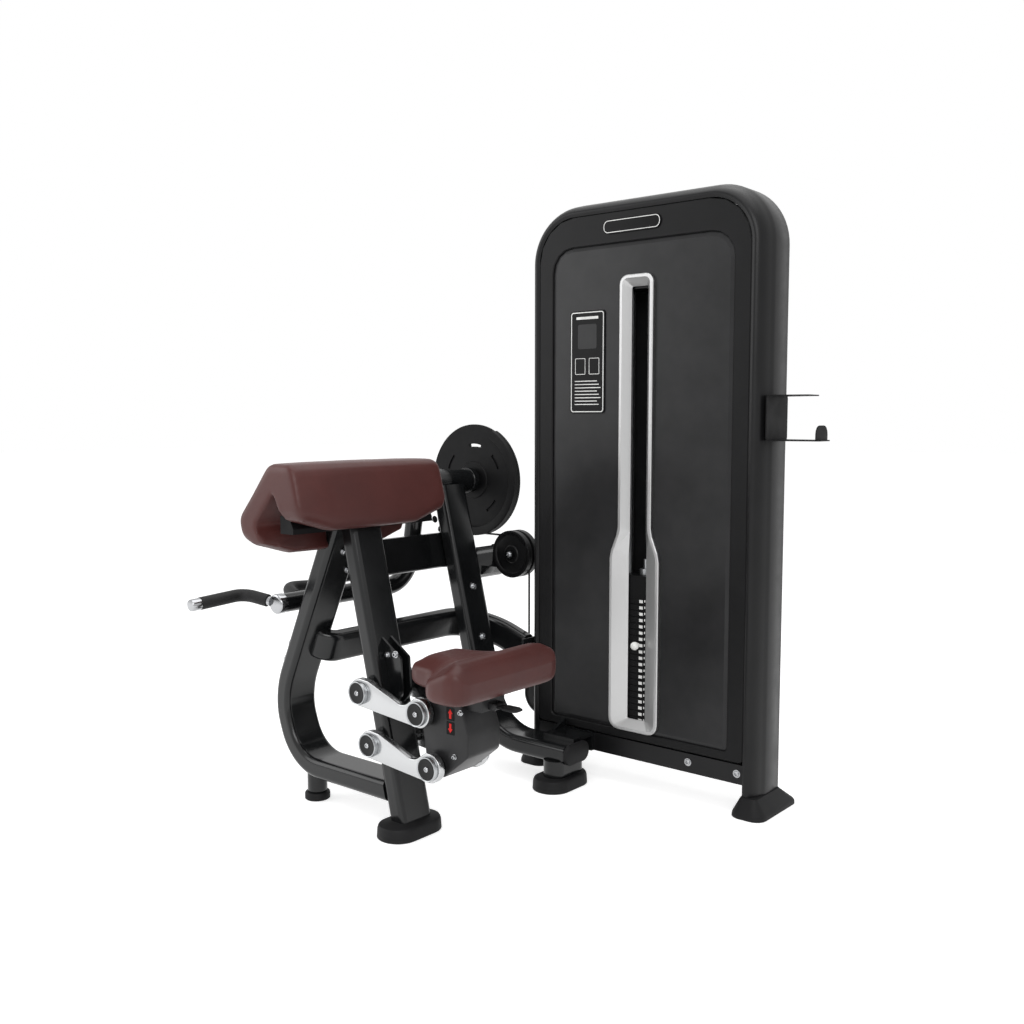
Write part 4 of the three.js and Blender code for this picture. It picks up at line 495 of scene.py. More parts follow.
def coated(name, base, roughness, peel_mm, depth_mm, gloss):
    """Powder coat: baked paint with faint orange peel, uneven in tone over 90 mm and in gloss over 35."""
    material, tree, shader, place = surface(name, base, roughness, gloss=gloss)
    cloud = add_node(tree, "ShaderNodeTexNoise", grains(90, 2), {"Vector": place})
    tone = add_node(tree, "ShaderNodeValToRGB", None, {"Fac": cloud}, cloudy(base))
    patch = add_node(tree, "ShaderNodeTexNoise", grains(35, 3), {"Vector": place})
    limits = spread(roughness * 0.8, roughness * 1.25)
    sheen = add_node(tree, "ShaderNodeMapRange", limits, {"Value": patch})
    peel = add_node(tree, "ShaderNodeTexNoise", grains(peel_mm, 2), {"Vector": place})
    bump = add_node(tree, "ShaderNodeBump", relief(depth_mm, 0.5), {"Height": peel})
    feed(tree, shader, {"Base Color": tone, "Roughness": sheen, "Normal": bump})
    return material


def brushed(name, base, roughness, stretch):
    """Brushed metal: parallel scratches that spread the highlight across them.

    Real scratches are a tenth of a millimetre wide. They are drawn 0.9 mm wide, so that they show.
    """
    material, tree, shader, place = surface(name, base, roughness, 1.0)
    along = add_node(tree, "ShaderNodeMapping", {"Scale": stretch}, {"Vector": place})
    scratch = add_node(tree, "ShaderNodeTexNoise", grains(0.9, 2), {"Vector": along})
    limits = spread(roughness * 0.7, roughness * 1.5)
    sheen = add_node(tree, "ShaderNodeMapRange", limits, {"Value": scratch})
    bump = add_node(tree, "ShaderNodeBump", relief(0.02, 0.35), {"Height": scratch})
    feed(tree, shader, {"Roughness": sheen, "Normal": bump})
    return material


def hide(name, base):
    """Synthetic leather: pebbles of 1.7 mm and creases of 9 mm over foam, with a soft sheen."""
    material, tree, shader, place = surface(name, base, 0.42, gloss=0.32)
    cloud = add_node(tree, "ShaderNodeTexNoise", grains(120, 4), {"Vector": place})
    stops = [(0.25, tint(base, 0.82)), (0.55, base), (0.8, tint(base, 1.22))]
    tone = add_node(tree, "ShaderNodeValToRGB", None, {"Fac": cloud}, stops)
    cells = {"Scale": 1 / (1.7 * MM), "Randomness": 0.9}
    pebble = add_node(tree, "ShaderNodeTexVoronoi", cells, {"Vector": place}, feature="SMOOTH_F1")
    crease = add_node(tree, "ShaderNodeTexNoise", grains(9, 5), {"Vector": place})
    both = add_node(tree, "ShaderNodeMath", {2: 0.35}, {0: crease, 1: pebble}, operation="MULTIPLY_ADD")
    sheen = add_node(tree, "ShaderNodeMapRange", spread(0.34, 0.52), {"Value": crease})
    bump = add_node(tree, "ShaderNodeBump", relief(0.35, 0.35), {"Height": both})
    feed(tree, shader, {"Base Color": tone, "Roughness": sheen, "Normal": bump})
    return material


def moulded(name, base, roughness, grain_mm=1.2, depth_mm=0.05, gloss=0.25):
    """Moulded rubber or plastic with a spark-eroded texture, uneven in tone over 60 mm."""
    material, tree, shader, place = surface(name, base, roughness, gloss=gloss)
    cloud = add_node(tree, "ShaderNodeTexNoise", grains(60, 3), {"Vector": place})
    tone = add_node(tree, "ShaderNodeValToRGB", None, {"Fac": cloud}, cloudy(base))
    grain = add_node(tree, "ShaderNodeTexNoise", grains(grain_mm, 3), {"Vector": place})
    limits = spread(roughness * 0.85, roughness * 1.15)
    sheen = add_node(tree, "ShaderNodeMapRange", limits, {"Value": grain})
    bump = add_node(tree, "ShaderNodeBump", relief(depth_mm, 0.6), {"Height": grain})
    feed(tree, shader, {"Base Color": tone, "Roughness": sheen, "Normal": bump})
    return material


def mirror_metal(name, base, roughness):
    """Polished or plated metal: a near mirror with patches of haze, 45 mm wide, from handling."""
    material, tree, shader, place = surface(name, base, roughness, 1.0)
    haze = add_node(tree, "ShaderNodeTexNoise", grains(45, 3), {"Vector": place})
    limits = spread(roughness * 0.8, roughness * 1.3)
    sheen = add_node(tree, "ShaderNodeMapRange", limits, {"Value": haze})
    feed(tree, shader, {"Roughness": sheen})
    return material


def sign_sheet(name, base):
    """Back-printed acrylic: a clear glossy face, never quite flat over 18 mm."""
    material, tree, shader, place = surface(name, base, 0.16, gloss=0.1)
    haze = add_node(tree, "ShaderNodeTexNoise", grains(30, 3), {"Vector": place})
    sheen = add_node(tree, "ShaderNodeMapRange", spread(0.12, 0.24), {"Value": haze})
    wave = add_node(tree, "ShaderNodeTexNoise", grains(18, 2), {"Vector": place})
    bump = add_node(tree, "ShaderNodeBump", relief(0.02, 0.3), {"Height": wave})
    feed(tree, shader, {"Roughness": sheen, "Normal": bump})
    return material


FINISHES = {}

# What each finish is put on among the CAD nodes that stay visible.
WORN = {
    "bezel": ("front_bezel",),
    "panel": ("front_panel", "rear_panel"),
    "rim": ("window_frame",),
    "tower": ("bottom_bar", "top_bar"),
    "sign": ("badge_plate", "placard"),
    "enamel": ("base_bracket", "seat_bracket"),
    "rubber": ("stack_bumper",),
    "iron": ("head_plate", "upper_plates", "lower_plates", "pad_bracket", "holder_bracket"),
    "steel": ("guide_rod_left", "guide_rod_right", "selector_rod"),
    "ball": ("selector_pin",),
    "sleeve": ("cable_run", "stack_cable"),
    "nylon": ("corner_pulley", "centre_pulley"),
}


class CURL_OT_finishes(bpy.types.Operator):
    """Make the finishes and give them to the CAD nodes that stay visible"""

    bl_idname = "curl.finishes"
    bl_label = "Finishes"

    def execute(self, context):
        tones = context.scene.curl_finish
        # After a colour come the roughness, the grain's width and depth in mm, and the specular level.
        FINISHES.update(
            # Near black, with long clear reflections along each tube.
            enamel=coated("gloss_powder_coat", opaque(tones.enamel), 0.17, 2.2, 0.02, 0.38),
            # The same black with its reflections spread into a soft band down the bend.
            tower=coated("satin_powder_coat", opaque(tones.tower), 0.34, 0.9, 0.03, 0.22),
            # A flat black surround that shines only at a glancing angle.
            bezel=moulded("textured_abs", opaque(tones.bezel), 0.42, 0.8, 0.03, 0.16),
            # Charcoal, a shade lighter than the bezel, with a wide faint sheen.
            panel=moulded("satin_panel", opaque(tones.panel), 0.3, 1.4, 0.02, 0.24),
            # Pale silver with streaks that run up the window.
            rim=brushed("brushed_aluminium", linear("#b4b4b4"), 0.34, (1, 1, 0.03)),
            # Bright and clean, with hazy mirror images.
            polished=mirror_metal("polished_aluminium", linear("#b9babb"), 0.22),
            # A sharper and darker mirror, which stands out on a white ground.
            chrome=mirror_metal("chrome_plate", linear("#a6a7a9"), 0.16),
            # Grey metal with fine rings left by turning.
            steel=brushed("zinc_plated_steel", linear("#adafb1"), 0.32, (1, 0.05, 1)),
            # Dull black over a pitted casting.
            iron=coated("painted_cast_iron", linear("#0e0e0f"), 0.5, 1.5, 0.08, 0.12),
            # Charcoal shell with an even soft sheen.
            cover=moulded("moulded_abs_cover", linear("#262627"), 0.38, 0.9, 0.02, 0.26),
            # Matt black, slightly grey where light grazes it.
            rubber=moulded("moulded_rubber", linear("#171718"), 0.6, 1.2, 0.05, 0.2),
            # Matt and coarser, to give the hand a hold.
            grip=moulded("grip_rubber", linear("#1c1c1d"), 0.6, 1.6, 0.1, 0.3),
            # Waxy black with a small clear highlight.
            nylon=moulded("turned_nylon", linear("#0e0e0f"), 0.34, 0.7, 0.02, 0.22),
            # A thin black line with a faint shine.
            sleeve=moulded("cable_jacket", linear("#101011"), 0.4, 0.6, 0.02),
            # Wet-looking black that mirrors the room.
            sign=sign_sheet("printed_acrylic", linear("#070708")),
            # Smooth white with a bright highlight.
            ball=moulded("white_phenolic", linear("#e9e9e6"), 0.22, 3.0, 0.01),
            # Deep red-brown that lightens on its crowns.
            leather=hide("synthetic_leather", opaque(tones.leather)),
            # Flat opaque ink.
            red=moulded("red_print", linear("#d81c16"), 0.4),
            white=moulded("white_print", linear("#e4e4e2"), 0.45),
        )
        for finish, nodes in WORN.items():
            for node in nodes:
                give(node, finish)
        return {"FINISHED"}


# The tower's tube: its inner line as (side, z, bend radius), and the section's depth and width.
TOWER_X = 325.5
TOWER_LINE = ((-1, 24, 0), (-1, 1545, 117), (1, 1545, 117), (1, 24, 0))
TOWER_DEPTH = 130
TOWER_WIDTH = 39
# The section's points as shares of the depth, from the front, and of the width, outwards.
TOWER_SHARES = (
    (0.03, 0), (0, 0.2), (0.005, 0.32), (0.03, 0.45), (0.065, 0.56), (0.11, 0.66), (0.165, 0.75),
    (0.23, 0.82), (0.29, 0.87), (0.34, 0.91), (0.385, 0.96), (0.44, 1), (0.97, 1), (1, 0.94), (1, 0),
)
# A shoe's layers: height, corner radius, and how far it stands out inwards, outwards, to the
# front and to the back of the tube.
SHOE_LAYERS = (
    (0, 30, 26, 24, 18, 65),
    (1.5, 32, 28, 26, 20, 67),
    (9, 34, 28, 26, 20, 67),
    (14, 32, 26, 24, 18, 62),
    (50, 12, 4.6, 4.6, 4.6, 4.6),
    (52, 11, 3, 3, 3, 3),
)
SHOE_STEP = 15
# Middles of the badge and the placard, and how far print stands out of its sheet and into it.
BADGE = (-20, 1506)
CARD = (-160, 1153)
PRINT_OUT = 0.35
PRINT_IN = 0.1
# The placard's text lines: their number, pitch, height, and how much every third one is longer.
LINES = 8
LINE_PITCH = 9
LINE_HEIGHT = 2.2
LINE_GROWTH = 6
# A weight plate's tag and its mark as (left, bottom, right, top) from the plate's middle.
TAG_FIELDS = ((4, -4, 15, 4), (20, -1, 23, 5))
TAG_FRONT = -0.9
TAG_BACK = -0.2


def bar(x, z, width, height, radius, front):
    """A thin raised print field on a sign whose face is at front."""
    a, b = width / 2, height / 2
    return plate_y(oblong(x - a, z - b, x + a, z + b, radius), front - PRINT_OUT, front + PRINT_IN)


def border(x, z, width, height, radius, line, front):
    """An outline of one line's width, cut from a print field."""
    a, b, small = width / 2 - line, height / 2 - line, max(0.5, radius - line)
    hole = plate_y(oblong(x - a, z - b, x + a, z + b, small), front - 4, front + 4)
    return carved(bar(x, z, width, height, radius, front), hole)


class CURL_OT_tower(bpy.types.Operator):
    """Bend the tower's tube, mould its shoes and fit its signs and fasteners"""

    bl_idname = "curl.tower"
    bl_label = "Tower"

    def execute(self, context):
        section = [(TOWER_DEPTH * deep, TOWER_WIDTH * wide) for deep, wide in TOWER_SHARES]
        tube = sweep(section, [((side * TOWER_X, 0, z), bend) for side, z, bend in TOWER_LINE], UPRIGHT)
        done(tube, "tower_tube", "tower", stands_for=["tower_frame"], angle=TOWER_EDGE)
        for side, name in ((1, "right"), (-1, "left")):
            done(self.shoe(side), f"tower_shoe_{name}_moulding", "rubber", stands_for=[f"tower_shoe_{name}"])
        self.signs()
        bolts(((169, 5, 108), (310, 5, 107)), (0, -1, 0), "bottom_bar_bolt", 7)
        for node, body, count in (("upper_plates", "stack", 8), ("lower_plates", "base", 12)):
            self.plate_marks(node, body, count)
        return {"FINISHED"}

    def shoe(self, side):
        rings = []
        for z, radius, inwards, outwards, front, back in SHOE_LAYERS:
            left, right = TOWER_X - inwards, TOWER_X + TOWER_WIDTH + outwards
            outline = oblong(left, -front, right, TOWER_DEPTH + back, radius, SHOE_STEP)
            rings.append([at(side * p.x, p.y, z) for p in outline])
        return lofted(rings)

    def signs(self):
        """Blank sign faces: a light border, and plain bars where print would be."""
        badge, card = (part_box(node)[0][1] / MM - MIDDLE.y for node in ("badge_plate", "placard"))
        x, z = CARD
        done(border(*BADGE, 174, 32, 14, 1.7, badge), "badge_border", "white")
        done(border(x, z, 108, 270, 8, 2.4, card), "placard_border", "white")
        done(bar(x, z + 69, 62, 66, 6, card), "placard_picture_field", "panel")
        for side in (-1, 1):
            step = border(x + side * 23, z - 11, 34, 44, 3, 1.4, card)
            done(step, f"placard_step_{side + 1}", "white")
        lines = [bar(x, z + 119, 72, 7, 1, card)]
        for k in range(LINES):
            longer = LINE_GROWTH * (k % 3)
            middle = x - 4 + longer / 2
            lines.append(bar(middle, z - 51 - LINE_PITCH * k, 74 + longer, LINE_HEIGHT, 0.4, card))
        done(merged(*lines), "placard_lines", "white")

    def plate_marks(self, node, body, count):
        """A blank white tag and a small mark on each plate beside the pin's hole."""
        low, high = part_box(node)
        pitch = (high[2] - low[2]) / MM / count
        front = low[1] / MM - MIDDLE.y
        tags = []
        for k in range(count):
            z = low[2] / MM + pitch * (k + 0.5)
            for left, bottom, right, top in TAG_FIELDS:
                field = oblong(left, z + bottom, right, z + top)
                tags.append(plate_y(field, front + TAG_FRONT, front + TAG_BACK))
        done(merged(*tags), f"{node}_tags", "white", body)


# The post and the curved leg end level under the pad, and the posts stand on their rubber feet.
POST_TOP = 733
FOOT_TOP = 33.3
# A tube's overrun past a cut, and half its thickness across a leaning face.
OVERRUN = 12
POST_HALF = 26
# The curved leg's corners as (x, z, bend radius), and its round foot's stub.
LEG_LINE = ((-250, 98, 0), (-637, 98, 128), (-688, 232, 150), (-682, 303, 200), (-474, 752, 0))
STUB_X = -603
STUB_RADIUS = 26
# The base tube that the rear post bends into: its height, end and bend.
BASE_Z = 96
BASE_END = -130
BASE_BEND = 150
# Bores through the rear post for the pivot's housing: (radius, front, back).
HOUSING_BORES = ((40.6, -160, -83.7), (34.6, -160, -20))
# The upper cross tube: its axis, its bend, and the flange that bolts it to the rear post.
UPPER_X = -590
UPPER_Y = -92
UPPER_Z = 619
UPPER_BEND = 60
FLANGE_HALF = (31, 107)
FLANGE_SEAT = 8
FLANGE_THICKNESS = 7.6
# The lower cross tube falls by this angle to the tower. Its corners are (along, y, bend radius).
LOWER_SLOPE = math.radians(20)
LOWER_START = Vector((-578, 0, 404))
LOWER_LINE = ((-50, -575, 0), (0, -575, 40), (0, 14, 142), (300, 14, 0))
LOWER_END = -372.8
# The end plate at the tower as (front, bottom, back, top), shorter than in CAD so that the seat hides it.
END_PLATE = (-20, 250, 94, 366)
# An oval foot's layers as (height, inset), its half width and length, and how far forward it sits.
FOOT_LAYERS = ((0, 2), (2, 0), (24, 1.5), (29, 3), (32, 5), (33, 8))
FOOT_HALF = (54, 88)
FOOT_FORWARD = 13
REAR_FOOT_X = -168
ROUND_FOOT = ((0, 0), (31, 0), (33, 2), (33, 16), (31, 19), (28, 20), (0, 20))


def post_x(z):
    return POST_FOOT[0] - POST_LEAN * (z - POST_FOOT[1])


def rear_x(z):
    return REAR_HEAD[0] + REAR_LEAN * (REAR_HEAD[1] - z)


class CURL_OT_frame_tubes(bpy.types.Operator):
    """Bend the frame's flat tubes, trim their ends and stand them on their feet"""

    bl_idname = "curl.frame_tubes"
    bl_label = "Frame tubes"

    def execute(self, context):
        low, high = 20, POST_TOP + OVERRUN
        post = flat_tube([((post_x(low), FRONT_Y, low), 0), ((post_x(high), FRONT_Y, high), 0)])
        trim(post, (0, 0, POST_TOP), (0, 0, 1))
        trim(post, (0, 0, FOOT_TOP), (0, 0, -1))
        done(post, "front_post_tube", "enamel", stands_for=["front_post"], angle=TUBE_EDGE)

        leg = flat_tube([((x, FRONT_Y, z), bend) for x, z, bend in LEG_LINE])
        trim(leg, (post_x(LEG_LINE[0][1]) - POST_HALF, 0, LEG_LINE[0][1]), (1, 0, POST_LEAN))
        trim(leg, (0, 0, POST_TOP), (0, 0, 1))
        stub = rod((STUB_X, FRONT_Y, 20.3), (STUB_X, FRONT_Y, 84), STUB_RADIUS)
        done(merged(leg, stub), "curved_leg_tube", "enamel", stands_for=["curved_leg"], angle=TUBE_EDGE)

        top = REAR_HEAD[1] + 3
        rear = flat_tube([
            ((rear_x(top), REAR_Y, top), 0),
            ((rear_x(BASE_Z), REAR_Y, BASE_Z), BASE_BEND),
            ((BASE_END, REAR_Y, BASE_Z), 0),
        ])
        x, z = PIVOT
        for radius, front, back in HOUSING_BORES:
            carved(rear, rod((x, front, z), (x, back, z), radius, 48, 0))
        spigot = oblong(-200, -155, -136, -23, 31)
        foot = plate([(p.x, p.y, FOOT_TOP) for p in spigot], (0, 0, 45))
        done(merged(rear, foot), "rear_post_tube", "enamel", stands_for=["rear_post"], angle=TUBE_EDGE)

        self.upper_tube()
        self.lower_tube()
        self.feet()
        return {"FINISHED"}

    def upper_tube(self):
        y = UPPER_Y
        corners = ((UPPER_X, -565, 0), (UPPER_X, y, UPPER_BEND), (-470, y, 0))
        tube = flat_tube([((x, y, UPPER_Z), bend) for x, y, bend in corners], (0, 0, 1))
        outward = Vector((1, 0, REAR_LEAN))
        face = Vector((rear_x(UPPER_Z) - POST_HALF, REAR_Y, UPPER_Z))
        trim(tube, (face.x, 0, UPPER_Z), outward)
        outward.normalize()
        along = Vector((-REAR_LEAN, 0, 1)).normalized()
        wide, high = FLANGE_HALF
        places = [
            face - outward * FLANGE_SEAT + Vector((0, 1, 0)) * p.x + along * p.y
            for p in oblong(-wide, -high, wide, high, 12)
        ]
        flange = plate(places, outward * FLANGE_THICKNESS, 1.2)
        both = merged(tube, flange)
        done(both, "upper_cross_tube_bend", "enamel", stands_for=["upper_cross_tube"], angle=TUBE_EDGE)

    def lower_tube(self):
        ahead = Vector((math.cos(LOWER_SLOPE), 0, -math.sin(LOWER_SLOPE)))
        up = Vector((math.sin(LOWER_SLOPE), 0, math.cos(LOWER_SLOPE)))
        line = [(LOWER_START + ahead * run + Vector((0, y, 0)), bend) for run, y, bend in LOWER_LINE]
        tube = flat_tube(line, up, 82, 42)
        trim(tube, (LOWER_END, 0, 0), (1, 0, 0))
        places = [(LOWER_END, p.x, p.y) for p in oblong(*END_PLATE)]
        both = merged(tube, plate(places, (8, 0, 0), 1.5))
        done(both, "lower_cross_tube_bend", "enamel", stands_for=["lower_cross_tube"], angle=TUBE_EDGE)

    def feet(self):
        for name, x, y in (("front", post_x(0), FRONT_Y), ("rear", REAR_FOOT_X, REAR_Y)):
            y -= FOOT_FORWARD
            rings = []
            for z, inset in FOOT_LAYERS:
                width, length = FOOT_HALF[0] - inset, FOOT_HALF[1] - inset
                outline = oblong(x - width, y - length, x + width, y + length, width - 1)
                rings.append([at(p.x, p.y, z) for p in outline])
            done(lofted(rings), f"{name}_foot_moulding", "rubber", stands_for=[f"{name}_foot"])
        foot = turned(ROUND_FOOT, (STUB_X, FRONT_Y, 0), (0, 0, 1))
        done(foot, "round_foot_moulding", "rubber", stands_for=["round_foot"])
        places = [(BASE_END + 0.3, p.x, p.y) for p in oblong(-142, 68, -36, 124, 26)]
        cap = plate(places, (12, 0, 0), 3, 3)
        done(cap, "base_end_cap_moulding", "rubber", stands_for=["base_end_cap"])


# Profiles round the arm's pivot, as (radius, y).
HOUSING_PROFILE = (
    (18.6, -128), (38.5, -128), (40, -126.5), (40, -85.5), (38.5, -84), (34, -84),
    (34, 18), (37, 18), (38, 19), (38, 39), (37, 40), (18.6, 40),
)
SHAFT_PROFILE = (
    (0, -222), (24.5, -222), (26, -220.5), (26, -210.3), (18, -210.3), (18, -159.7),
    (26, -159.7), (26, -128.6), (18, -128.6), (18, 40.6), (26, 40.6), (26, 49.7),
    (18, 49.7), (18, 70.3), (26, 70.3), (26, 81), (24, 82), (0, 82),
)
CAM_PROFILE = (
    (18.3, -10), (54, -10), (56, -8), (57, -6), (166.5, -6), (169, -4),
    (169, 4), (166.5, 6), (57, 6), (56, 10), (18.3, 10),
)
# The cam's raised rim with the cable's track runs over a part of its edge only.
RIM_PROFILE = (
    (142, -7), (144, -13), (147, -15), (167.5, -15), (169.5, -13), (169.5, -5), (162, -3.3),
    (162, 3.3), (169.5, 5), (169.5, 13), (167.5, 15), (147, 15), (144, 13), (142, 7),
)
RIM_START = math.radians(-100)
RIM_TURN = math.radians(162)
# The cam's slots: the one that goes right through, the recesses, and the curved outline's radii,
# half angle and step, in degrees. A recess leaves this much of the web on each side of its middle.
THROUGH_SLOT = 87
SLOTS = (THROUGH_SLOT, 33, -47, -113, 150)
SLOT_RADII = (110.5, 101.5)
SLOT_HALF = 13
SLOT_STEP = 2
WEB_HALF = 2
CUT_REACH = 20
# Pulleys on the frame: name, body, x, z, groove radius, outer radius, half thickness and bore.
PULLEYS = (
    ("small_pulley", "small_wheel", -460, 600, 52, 70, 24, 9),
    ("bottom_pulley", "bottom_wheel", -358, 190, 50, 58, 12, 8),
)
# The CAD cable goes round in straight pieces of 20 degrees, whose middles come this share nearer to
# the axis. Half the width of a groove's floor is also what the cable takes from its radius.
CHORD_SHARE = math.cos(math.radians(10))
GROOVE_HALF = 3.3


class CURL_OT_drive(bpy.types.Operator):
    """Turn the pivot's housing and shaft, the slotted cam and the pulleys"""

    bl_idname = "curl.drive"
    bl_label = "Drive"

    def execute(self, context):
        x, z = PIVOT
        hub = (x, 0, z)
        housing = turned(HOUSING_PROFILE, hub)
        done(housing, "pivot_housing_turning", "enamel", stands_for=["pivot_housing"])
        shaft = turned(SHAFT_PROFILE, hub)
        done(shaft, "pivot_shaft_turning", "enamel", "arm", stands_for=["pivot_shaft"])
        done(self.cam(), "cam_disc_wheel", "iron", "arm", stands_for=["cam_disc"])
        done(carry_copy("pulley_arm"), "pulley_arm_bracket", "enamel", stands_for=["pulley_arm"])
        for pulley in PULLEYS:
            self.pulley(*pulley)
        bolts(((-460, 29.5, 600),), (0, -1, 0), "small_pulley_bolt", 7)
        return {"FINISHED"}

    def pulley(self, name, body, x, z, groove, outer, half, bore):
        """A dished wheel with a round-lipped groove, and a rim ring on its front."""
        floor = groove * CHORD_SHARE - GROOVE_HALF
        dish = [
            (bore, 2 - half), (outer * 0.34, 2 - half), (outer * 0.38, 4 - half), (outer * 0.8, 4 - half),
            (outer * 0.86, 1 - half), (outer - 1.5, -half), (outer, 1.5 - half),
        ]
        track = [
            (outer, -6), (outer - 2, -5), (floor, -GROOVE_HALF),
            (floor, GROOVE_HALF), (outer - 2, 5), (outer, 6),
        ]
        back = [(outer, half - 1.5), (outer - 1.5, half), (bore, half)]
        centre = (x, CABLE_Y, z)
        done(turned(dish + track + back, centre), f"{name}_wheel", "nylon", body, stands_for=[name])
        lip = [
            (outer - 3, -half - 0.3), (outer - 1.4, -half - 0.4),
            (outer + 0.1, -half + 1.2), (outer - 1, -half + 1.6),
        ]
        finish = "steel" if name == "bottom_pulley" else "iron"
        done(turned(lip, centre), f"{name}_rim", finish, body)

    def cam(self):
        x, z = PIVOT
        centre = (x, CABLE_Y, z)
        disc = turned(CAM_PROFILE, centre, steps=96)
        span = list(range(-SLOT_HALF, SLOT_HALF + 1, SLOT_STEP))
        slots = []
        for middle in SLOTS:
            outline = []
            for radius, steps in zip(SLOT_RADII, (span, reversed(span))):
                for step in steps:
                    angle = math.radians(middle + step)
                    outline.append((x + radius * math.cos(angle), z + radius * math.sin(angle)))
            front, back = CABLE_Y - CUT_REACH, CABLE_Y + CUT_REACH
            if middle == THROUGH_SLOT:
                slots.append(plate_y(outline, front, back))
            else:
                slots.append(plate_y(outline, front, CABLE_Y - WEB_HALF))
                slots.append(plate_y(outline, CABLE_Y + WEB_HALF, back))
        carved(disc, *slots)
        start = (math.cos(RIM_START), 0, math.sin(RIM_START))
        rim = turned(RIM_PROFILE, centre, steps=56, start=start, sweep_angle=RIM_TURN)
        return merged(disc, rim)


# The swing arm's path from the pivot through its bend to the chrome cap.
ARM_Y = -185
ARM_ROOT = Vector((PIVOT[0], ARM_Y, PIVOT[1]))
ARM_ELBOW = Vector((-671, ARM_Y, 520))
ARM_END = Vector((-671, -641, 520))
ARM_RADIUS = 25
ARM_BEND = 75
BOSS_PROFILE = ((18.3, -25), (38.5, -25), (40, -23.5), (40, 23.5), (38.5, 25), (18.3, 25))
CAP_PROFILE = (
    (0, -24), (20, -24), (23.5, -23), (25.8, -20.5), (26.5, -17), (26.5, -1.5), (25.5, -0.3), (0, -0.3),
)
# The grips: where they leave the arm, their plane, and how far their root, bend and tip are to the side.
GRIP_ROOT = (-671, 520)
GRIP_BEND = (-771, 540)
GRIP_TIP = (-771, 530)
GRIP_Y = -618
GRIP_SIDES = (34, 70, 234)
GRIP_RADIUS = 12.5
SLEEVE_RADIUS = 16.5
GRIP_TURN = 45
KNOB_LENGTH = 28
KNOB_PROFILE = ((0, 0), (14.6, 0), (15.5, 1), (15.5, 25), (14, 27.4), (11, KNOB_LENGTH), (0, KNOB_LENGTH))
# Shares of the run from root to bend where the bar and the sleeve begin, and of the run back
# from the tip where the bar ends.
BAR_START_SHARE = 24 / 108
SLEEVE_START_SHARE = 30.5 / 100
BAR_END_SHARE = 1 / 164


class CURL_OT_swing_arm(bpy.types.Operator):
    """Bend the round swing arm with its chrome cap, grip bars and rubber sleeves"""

    bl_idname = "curl.swing_arm"
    bl_label = "Swing arm"

    def execute(self, context):
        normal = (ARM_ELBOW - ARM_ROOT).cross(ARM_END - ARM_ELBOW).normalized()
        line = [(ARM_ROOT, 0), (ARM_ELBOW, ARM_BEND), (ARM_END, 0)]
        tube = sweep(round_section(ARM_RADIUS, 40), line, normal)
        boss = turned(BOSS_PROFILE, ARM_ROOT)
        reach = Vector((0, 55, 0))
        carved(tube, rod(ARM_ROOT - reach, ARM_ROOT + reach, 39, 48, 0))
        done(merged(tube, boss), "swing_arm_tube", "enamel", "arm", stands_for=["swing_arm"])
        cap = turned(CAP_PROFILE, ARM_END)
        done(cap, "arm_end_cap_chrome", "chrome", "arm", stands_for=["arm_end_cap"])
        for side, name in ((-1, "front"), (1, "back")):
            self.grip(side, name)
        return {"FINISHED"}

    def grip(self, side, name):
        root, bend, tip = (
            Vector((x, GRIP_Y + side * out, z))
            for (x, z), out in zip((GRIP_ROOT, GRIP_BEND, GRIP_TIP), GRIP_SIDES)
        )
        normal = (bend - root).cross(tip - bend).normalized()
        along = (tip - bend).normalized()
        start, end = root.lerp(bend, BAR_START_SHARE), tip.lerp(bend, BAR_END_SHARE)
        bar = sweep(round_section(GRIP_RADIUS, 28), [(start, 0), (bend, GRIP_TURN), (end, 0)], normal)
        knob = turned(KNOB_PROFILE, tip - along * KNOB_LENGTH, along, 40)
        done(merged(bar, knob), f"grip_bar_{name}_chrome", "chrome", "arm", stands_for=[f"grip_bar_{name}"])
        start, end = root.lerp(bend, SLEEVE_START_SHARE), tip - along * (KNOB_LENGTH + 0.3)
        sleeve = sweep(round_section(SLEEVE_RADIUS), [(start, 0), (bend, GRIP_TURN), (end, 0)], normal)
        ease_edges(sleeve, 1.5, 2, 60)
        done(sleeve, f"grip_{name}_rubber", "grip", "arm", stands_for=[f"grip_{name}"])


# How far the links stand to each side of the front frame's plane, half their thickness, and how
# far they reach past and beside their pins.
LINK_SIDE = 75
LINK_HALF = 9
LINK_END = 34
# The link's outline along the link: a share of the run between its pins, extra length, height and
# corner radius. The waist is on its upper edge.
LINK_OUTLINE = (
    (0, -LINK_END, -LINK_END, 33.9), (1, LINK_END, -LINK_END, 33.9), (1, LINK_END, LINK_END, 33.9),
    (0.93, 0, LINK_END, 13.6), (0.74, 0, 2.7, 34), (0.14, 0, LINK_END, 27), (0, -LINK_END, LINK_END, 33.9),
)
# A joint's barrel reaches from inside the links to this far from the middle, round its pin.
BARREL_END = 65.4
BARREL_RADIUS = 26
POST_BARREL = 38
CARRIAGE_BARREL = 54
PIN_RADIUS = 9
PIN_END = 90
# The caps over each joint, turned from this far to the side: rim, dish and screw.
CAP_SIDE = 84.6
CAP_TURNINGS = (
    ("cap_rim", "steel", "chrome", 64,
     ((24, 0), (29, 0), (29, 9.5), (28.4, 10.6), (27.4, 11), (26.4, 10.6), (24, 8))),
    ("cap", "nylon", "frame", 64,
     ((0, 0), (25.9, 0), (25.9, 9.4), (24.5, 9.8), (20, 9), (10, 8.8), (0, 8.8))),
    ("cap_screw", "chrome", "chrome", 24,
     ((0, 8), (6.2, 8), (6.4, 10), (5.2, 11.2), (3, 11.6), (2.8, 10), (0, 10))),
)
